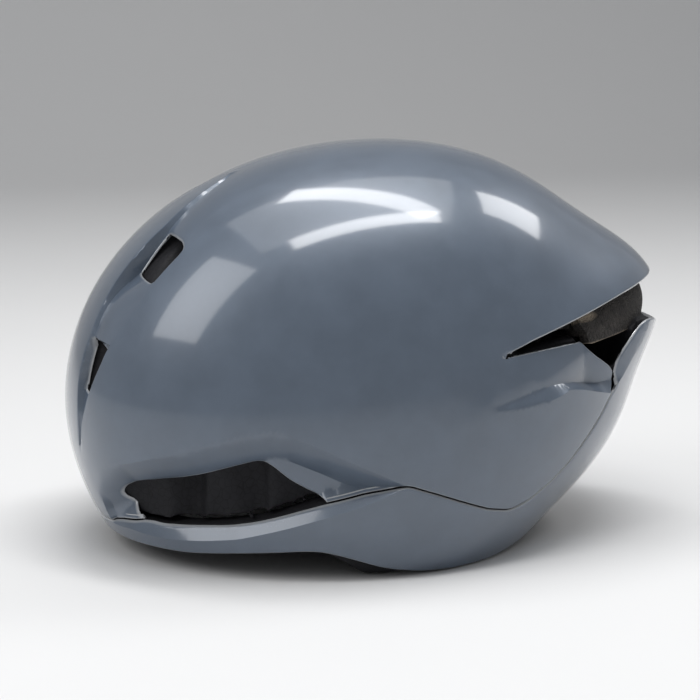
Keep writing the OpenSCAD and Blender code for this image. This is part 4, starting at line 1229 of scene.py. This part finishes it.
def elastic(tree, shader):
    """Ribbed elastic."""
    colour = bpy.context.scene.helmet_straps.colour
    inputs = {"Vector": on_object(tree), "Scale": 380.0, "Distortion": 0.4}
    ribs = node(tree, "TexWave", inputs, bands_direction="X").outputs["Fac"]
    feed(tree, shader, {
        "Base Color": mixed(tree, ribs, rgba(colour, 0.6), rgba(colour, 1.3)),
        "Roughness": 0.8,
        "Normal": bumped(tree, ribs, 0.5, 0.12 * MM),
    })


def plastic(tree, shader, gain, roughness, grain):
    """Moulded plastic with a fine grain."""
    colour = bpy.context.scene.helmet_fit.plastic
    place = on_object(tree)
    patches = effect(tree, "Mottle", place, 90.0)["Value"]
    feed(tree, shader, {
        "Base Color": mixed(tree, patches, rgba(colour, 0.85 * gain), rgba(colour, 1.15 * gain)),
        "Roughness": ranged(tree, patches, 0.3, 0.7, roughness - 0.05, roughness + 0.05),
        "Normal": bumped(tree, noise(tree, place, 2600.0, 3.0), grain, 0.05 * MM),
    })


def turned_steel(tree, shader):
    """Steel with the fine rings of a lathe."""
    rings = noise(tree, on_object(tree), 900.0, 2.0)
    feed(tree, shader, {
        "Base Color": mixed(tree, rings, (0.42, 0.43, 0.45, 1), (0.6, 0.61, 0.63, 1)),
        "Metallic": 1.0,
        "Roughness": ranged(tree, rings, 0.3, 0.7, 0.22, 0.38),
    })


def pale_floor(tree, shader):
    """Plain matt floor."""
    colour = bpy.context.scene.helmet_stage.floor
    patches = effect(tree, "Mottle", on_object(tree), 6.0)["Value"]
    feed(tree, shader, {
        "Base Color": mixed(tree, patches, rgba(colour, 0.99), rgba(colour, 1.01)),
        "Roughness": 0.6,
    })


# What paints each finish, with the gain, roughness and grain of each plastic
FINISHES = {
    "shell_paint": (shell_paint,),
    "liner_foam": (liner_foam,),
    "core_foam": (core_foam,),
    "pad_cloth": (pad_cloth,),
    "webbing": (webbing,),
    "elastic": (elastic,),
    "trim_plastic": (plastic, 1.0, 0.42, 0.25),
    "dial_plastic": (plastic, 1.7, 0.5, 0.4),
    "turned_steel": (turned_steel,),
    "pale_floor": (pale_floor,),
}


def finish(slot):
    """The material of a finish, painted the first time that it is asked for."""
    name = slot.replace("_", " ").title()
    made = bpy.data.materials.get(name)
    if made is None:
        made = bpy.data.materials.new(name)
        made.use_nodes = True
        paint, *values = FINISHES[slot]
        paint(made.node_tree, made.node_tree.nodes["Principled BSDF"], *values)
    return made


def dress_node(name, slot, bevel=0.0):
    """Gives a kept solid its finish and softened edges."""
    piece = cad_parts[name]
    piece.data.materials.clear()
    piece.data.materials.append(finish(slot))
    if bevel:
        soften(piece, "Soft edges", bevel * MM, 40, harden_normals=True)
    return piece


# Operators


class HELMET_OT_shells(bpy.types.Operator):
    """Builds the upper and the lower outer shell and the rough face between them"""

    bl_idname = "helmet.shells"
    bl_label = "Outer Shells"

    def execute(self, context):
        shell = context.scene.helmet_shell
        foam = context.scene.helmet_foam
        gap = shell.panel_gap / MM / 2
        surface = shell_surface(shell)
        vents = [clear_of(outline, view) for outline, view in OPENINGS if outline is not ARCH]
        top = shell_part(surface, shell, [inside(UPPER, gap)] + vents, True)
        foot = shell_part(surface, shell, [inside(LOWER, gap), clear_of(ARCH, "rear")], False)
        face = core_face(surface, foam.core_depth / MM)
        surface.free()
        for name, half, slot, replaced, wall in (
            ("Upper_shell", top, "shell_paint", "upper_shell", shell.thickness),
            ("Lower_shell", foot, "shell_paint", "lower_shell", shell.thickness),
            ("Core_face", face, "core_foam", None, foam.core_wall),
        ):
            make_whole(add_piece(name, half, slot, "helmet", replaced), wall)
        return {"FINISHED"}


class HELMET_OT_foam(bpy.types.Operator):
    """Finishes the foam liner blocks and the tail core"""

    bl_idname = "helmet.foam"
    bl_label = "Foam"

    def execute(self, context):
        foam = context.scene.helmet_foam
        for name, slot, growth in (
            ("crown_liner", "liner_foam", -foam.inset),
            ("lower_liner", "liner_foam", -foam.inset),
            ("tail_core", "core_foam", -0.3 * foam.inset),
        ):
            piece = dress_node(name, slot)
            modify(piece, "Moulded skin", "REMESH", mode="VOXEL", voxel_size=foam.skin_step,
                   use_smooth_shade=True)
            modify(piece, "Rounded", "SMOOTH", factor=0.5, iterations=FOAM_ROUNDING)
            modify(piece, "Room", "DISPLACE", mid_level=0.0, strength=growth)
        return {"FINISHED"}


class HELMET_OT_fit(bpy.types.Operator):
    """Finishes the bands, the dial and the cradle"""

    bl_idname = "helmet.fit"
    bl_label = "Fit System"

    def execute(self, context):
        for side in SIDES:
            for name in ("temple_pin", "band", "rack"):
                dress_node(f"{name}_{side}", "trim_plastic", 0.15)
        dress_node("nape_cradle", "trim_plastic", 0.15)
        dress_node("dial_housing", "trim_plastic", 0.4)
        dress_node("housing_cover", "trim_plastic", 0.4)
        dress_node("dial_knob", "dial_plastic", 0.3)
        dress_node("drive_pinion", "dial_plastic")
        dress_node("dial_shaft", "turned_steel", 0.2)
        return {"FINISHED"}


class HELMET_OT_pads(bpy.types.Operator):
    """Makes the sewn pads inside the helmet and on the cradle"""

    bl_idname = "helmet.pads"
    bl_label = "Pads"

    def execute(self, context):
        thick = context.scene.helmet_fit.pad_thickness / MM
        cushion("brow_pad", lambda u, v: head_spot(186 - 18 * v, -70 + 140 * u), 156, 36, thick)
        cushion("crown_pad", lambda u, v: head_spot(132 - 70 * u, -11 + 22 * v), 124, 22, thick)
        for name, side in SIDES.items():
            cushion(f"top_pad_{name}", lambda u, v: head_spot(138 - 80 * u, side * (38 + 19 * v)),
                    122, 25, thick)
            cushion(f"side_pad_{name}", lambda u, v: side_spot(-43 + 80 * u, 52 + 22 * v, side),
                    80, 23, thick)
            cushion(f"nape_pad_{name}", lambda u, v: nape_spot(5 + 26 * u, 15 * v - 7.5, side),
                    26, 15, 0.7 * thick, "cradle", forward)
        return {"FINISHED"}


class HELMET_OT_straps(bpy.types.Operator):
    """Makes the webbing and the elastic keepers"""

    bl_idname = "helmet.straps"
    bl_label = "Straps"

    def execute(self, context):
        straps = context.scene.helmet_straps
        width = straps.width / MM
        thick = straps.thickness / MM
        for name, side in SIDES.items():
            front = side_strap_marks(-36, 20.8, DIVIDER_X - 8.5, side, width)
            rear = side_strap_marks(38, 13, DIVIDER_X + 8.5, side, width)
            ribbon(f"front_strap_{name}", front, thick, "helmet", "webbing")
            ribbon(f"rear_strap_{name}", rear, thick, "helmet", "webbing")
        for name, bar_y, body in (("left", 20.0, "helmet"), ("right", 13.4, "plug")):
            side = SIDES[name]
            chin = chin_strap_marks(bar_y, side, width)
            keeper = keeper_marks(side * (bar_y + 5.8))
            ribbon(f"chin_strap_{name}", chin, thick, body, "webbing")
            ribbon(f"strap_keeper_{name}", keeper, KEEPER_THICK, body, "elastic", closed=True, step=0.6)
        return {"FINISHED"}


class HELMET_OT_buckle(bpy.types.Operator):
    """Finishes the buckle, the strap dividers and the anchors"""

    bl_idname = "helmet.buckle"
    bl_label = "Buckle and Dividers"

    def execute(self, context):
        for side in SIDES:
            dress_node(f"strap_divider_{side}", "trim_plastic", 0.35)
        for name in ("strap_anchors", "buckle_socket", "buckle_plug"):
            dress_node(name, "trim_plastic", 0.35)
        return {"FINISHED"}


class HELMET_OT_stage(bpy.types.Operator):
    """Sets up the floor, the soft light and the camera"""

    bl_idname = "helmet.stage"
    bl_label = "Stage"

    def execute(self, context):
        add_floor()
        add_lamps()
        add_camera(context.scene.helmet_stage)
        context.scene.view_settings.view_transform = "Standard"
        return {"FINISHED"}


def add_floor():
    """A floor that curves up into a backdrop."""
    bm = bmesh.new()
    bmesh.ops.create_grid(bm, x_segments=1, y_segments=1, size=FLOOR_HALF)
    back = [e for e in bm.edges if all(v.co.y > FLOOR_HALF - 0.1 for v in e.verts)]
    lifted = bmesh.ops.extrude_edge_only(bm, edges=back)["geom"]
    top = [part for part in lifted if isinstance(part, bmesh.types.BMVert)]
    bmesh.ops.translate(bm, vec=(0, 0, FLOOR_HALF), verts=top)
    bmesh.ops.bevel(bm, geom=back, offset=1.2, segments=16, profile=0.5, affect="EDGES", material=-1)
    bmesh.ops.recalc_face_normals(bm, faces=bm.faces)
    for face in bm.faces:
        face.smooth = True
    new_object("Floor", bm, "pale_floor")


def add_aimed(name, data, place, look):
    """A lamp or camera that looks along a direction."""
    thing = bpy.data.objects.new(name, data)
    thing.location = place
    thing.rotation_euler = look.to_track_quat("-Z", "Y").to_euler()
    bpy.context.scene.collection.objects.link(thing)
    return thing


def add_lamps():
    for name, place, size, power in LAMPS:
        data = bpy.data.lights.new(name, "AREA")
        data.shape = "RECTANGLE"
        data.size, data.size_y = size
        data.energy = power
        add_aimed(name, data, place, Vector(LIT_POINT) - Vector(place))
    world = bpy.data.worlds.new("Studio")
    bpy.context.scene.world = world
    world.use_nodes = True
    back = world.node_tree.nodes["Background"]
    feed(world.node_tree, back, {"Color": (0.77, 0.78, 0.8, 1), "Strength": 0.44})


def add_camera(stage):
    flat = math.cos(stage.elevation)
    left, back = math.sin(stage.azimuth) * flat, -math.cos(stage.azimuth) * flat
    away = Vector((left, back, math.sin(stage.elevation)))
    data = bpy.data.cameras.new("Camera")
    data.lens = stage.lens
    data.sensor_width = 36
    data.clip_start = 0.05
    place = Vector(CAMERA_AIM) + away * stage.distance
    bpy.context.scene.camera = add_aimed("Camera", data, place, -away)


class HELMET_PT_sidebar(bpy.types.Panel):
    """Lists the helmet's pieces in the sidebar"""

    bl_idname = "HELMET_PT_sidebar"
    bl_label = "Helmet"
    bl_space_type = "VIEW_3D"
    bl_region_type = "UI"
    bl_category = "Helmet"

    def draw(self, context):
        for operator in OPERATORS:
            self.layout.operator(operator.bl_idname)


SETTINGS = {
    "helmet_shell": ShellSettings,
    "helmet_foam": FoamSettings,
    "helmet_fit": FitSettings,
    "helmet_straps": StrapSettings,
    "helmet_stage": StageSettings,
}
OPERATORS = (
    HELMET_OT_shells,
    HELMET_OT_foam,
    HELMET_OT_fit,
    HELMET_OT_pads,
    HELMET_OT_straps,
    HELMET_OT_buckle,
    HELMET_OT_stage,
)


def register():
    for name, group in SETTINGS.items():
        bpy.utils.register_class(group)
        setattr(bpy.types.Scene, name, PointerProperty(type=group))
    for shown in OPERATORS + (HELMET_PT_sidebar,):
        bpy.utils.register_class(shown)


def unregister():
    for shown in reversed(OPERATORS + (HELMET_PT_sidebar,)):
        bpy.utils.unregister_class(shown)
    for name, group in SETTINGS.items():
        delattr(bpy.types.Scene, name)
        bpy.utils.unregister_class(group)


def main():
    register()
    bpy.ops.helmet.shells()
    bpy.ops.helmet.foam()
    bpy.ops.helmet.fit()
    bpy.ops.helmet.pads()
    bpy.ops.helmet.straps()
    bpy.ops.helmet.buckle()
    bpy.ops.helmet.stage()


if __name__ == "__main__":
    main()
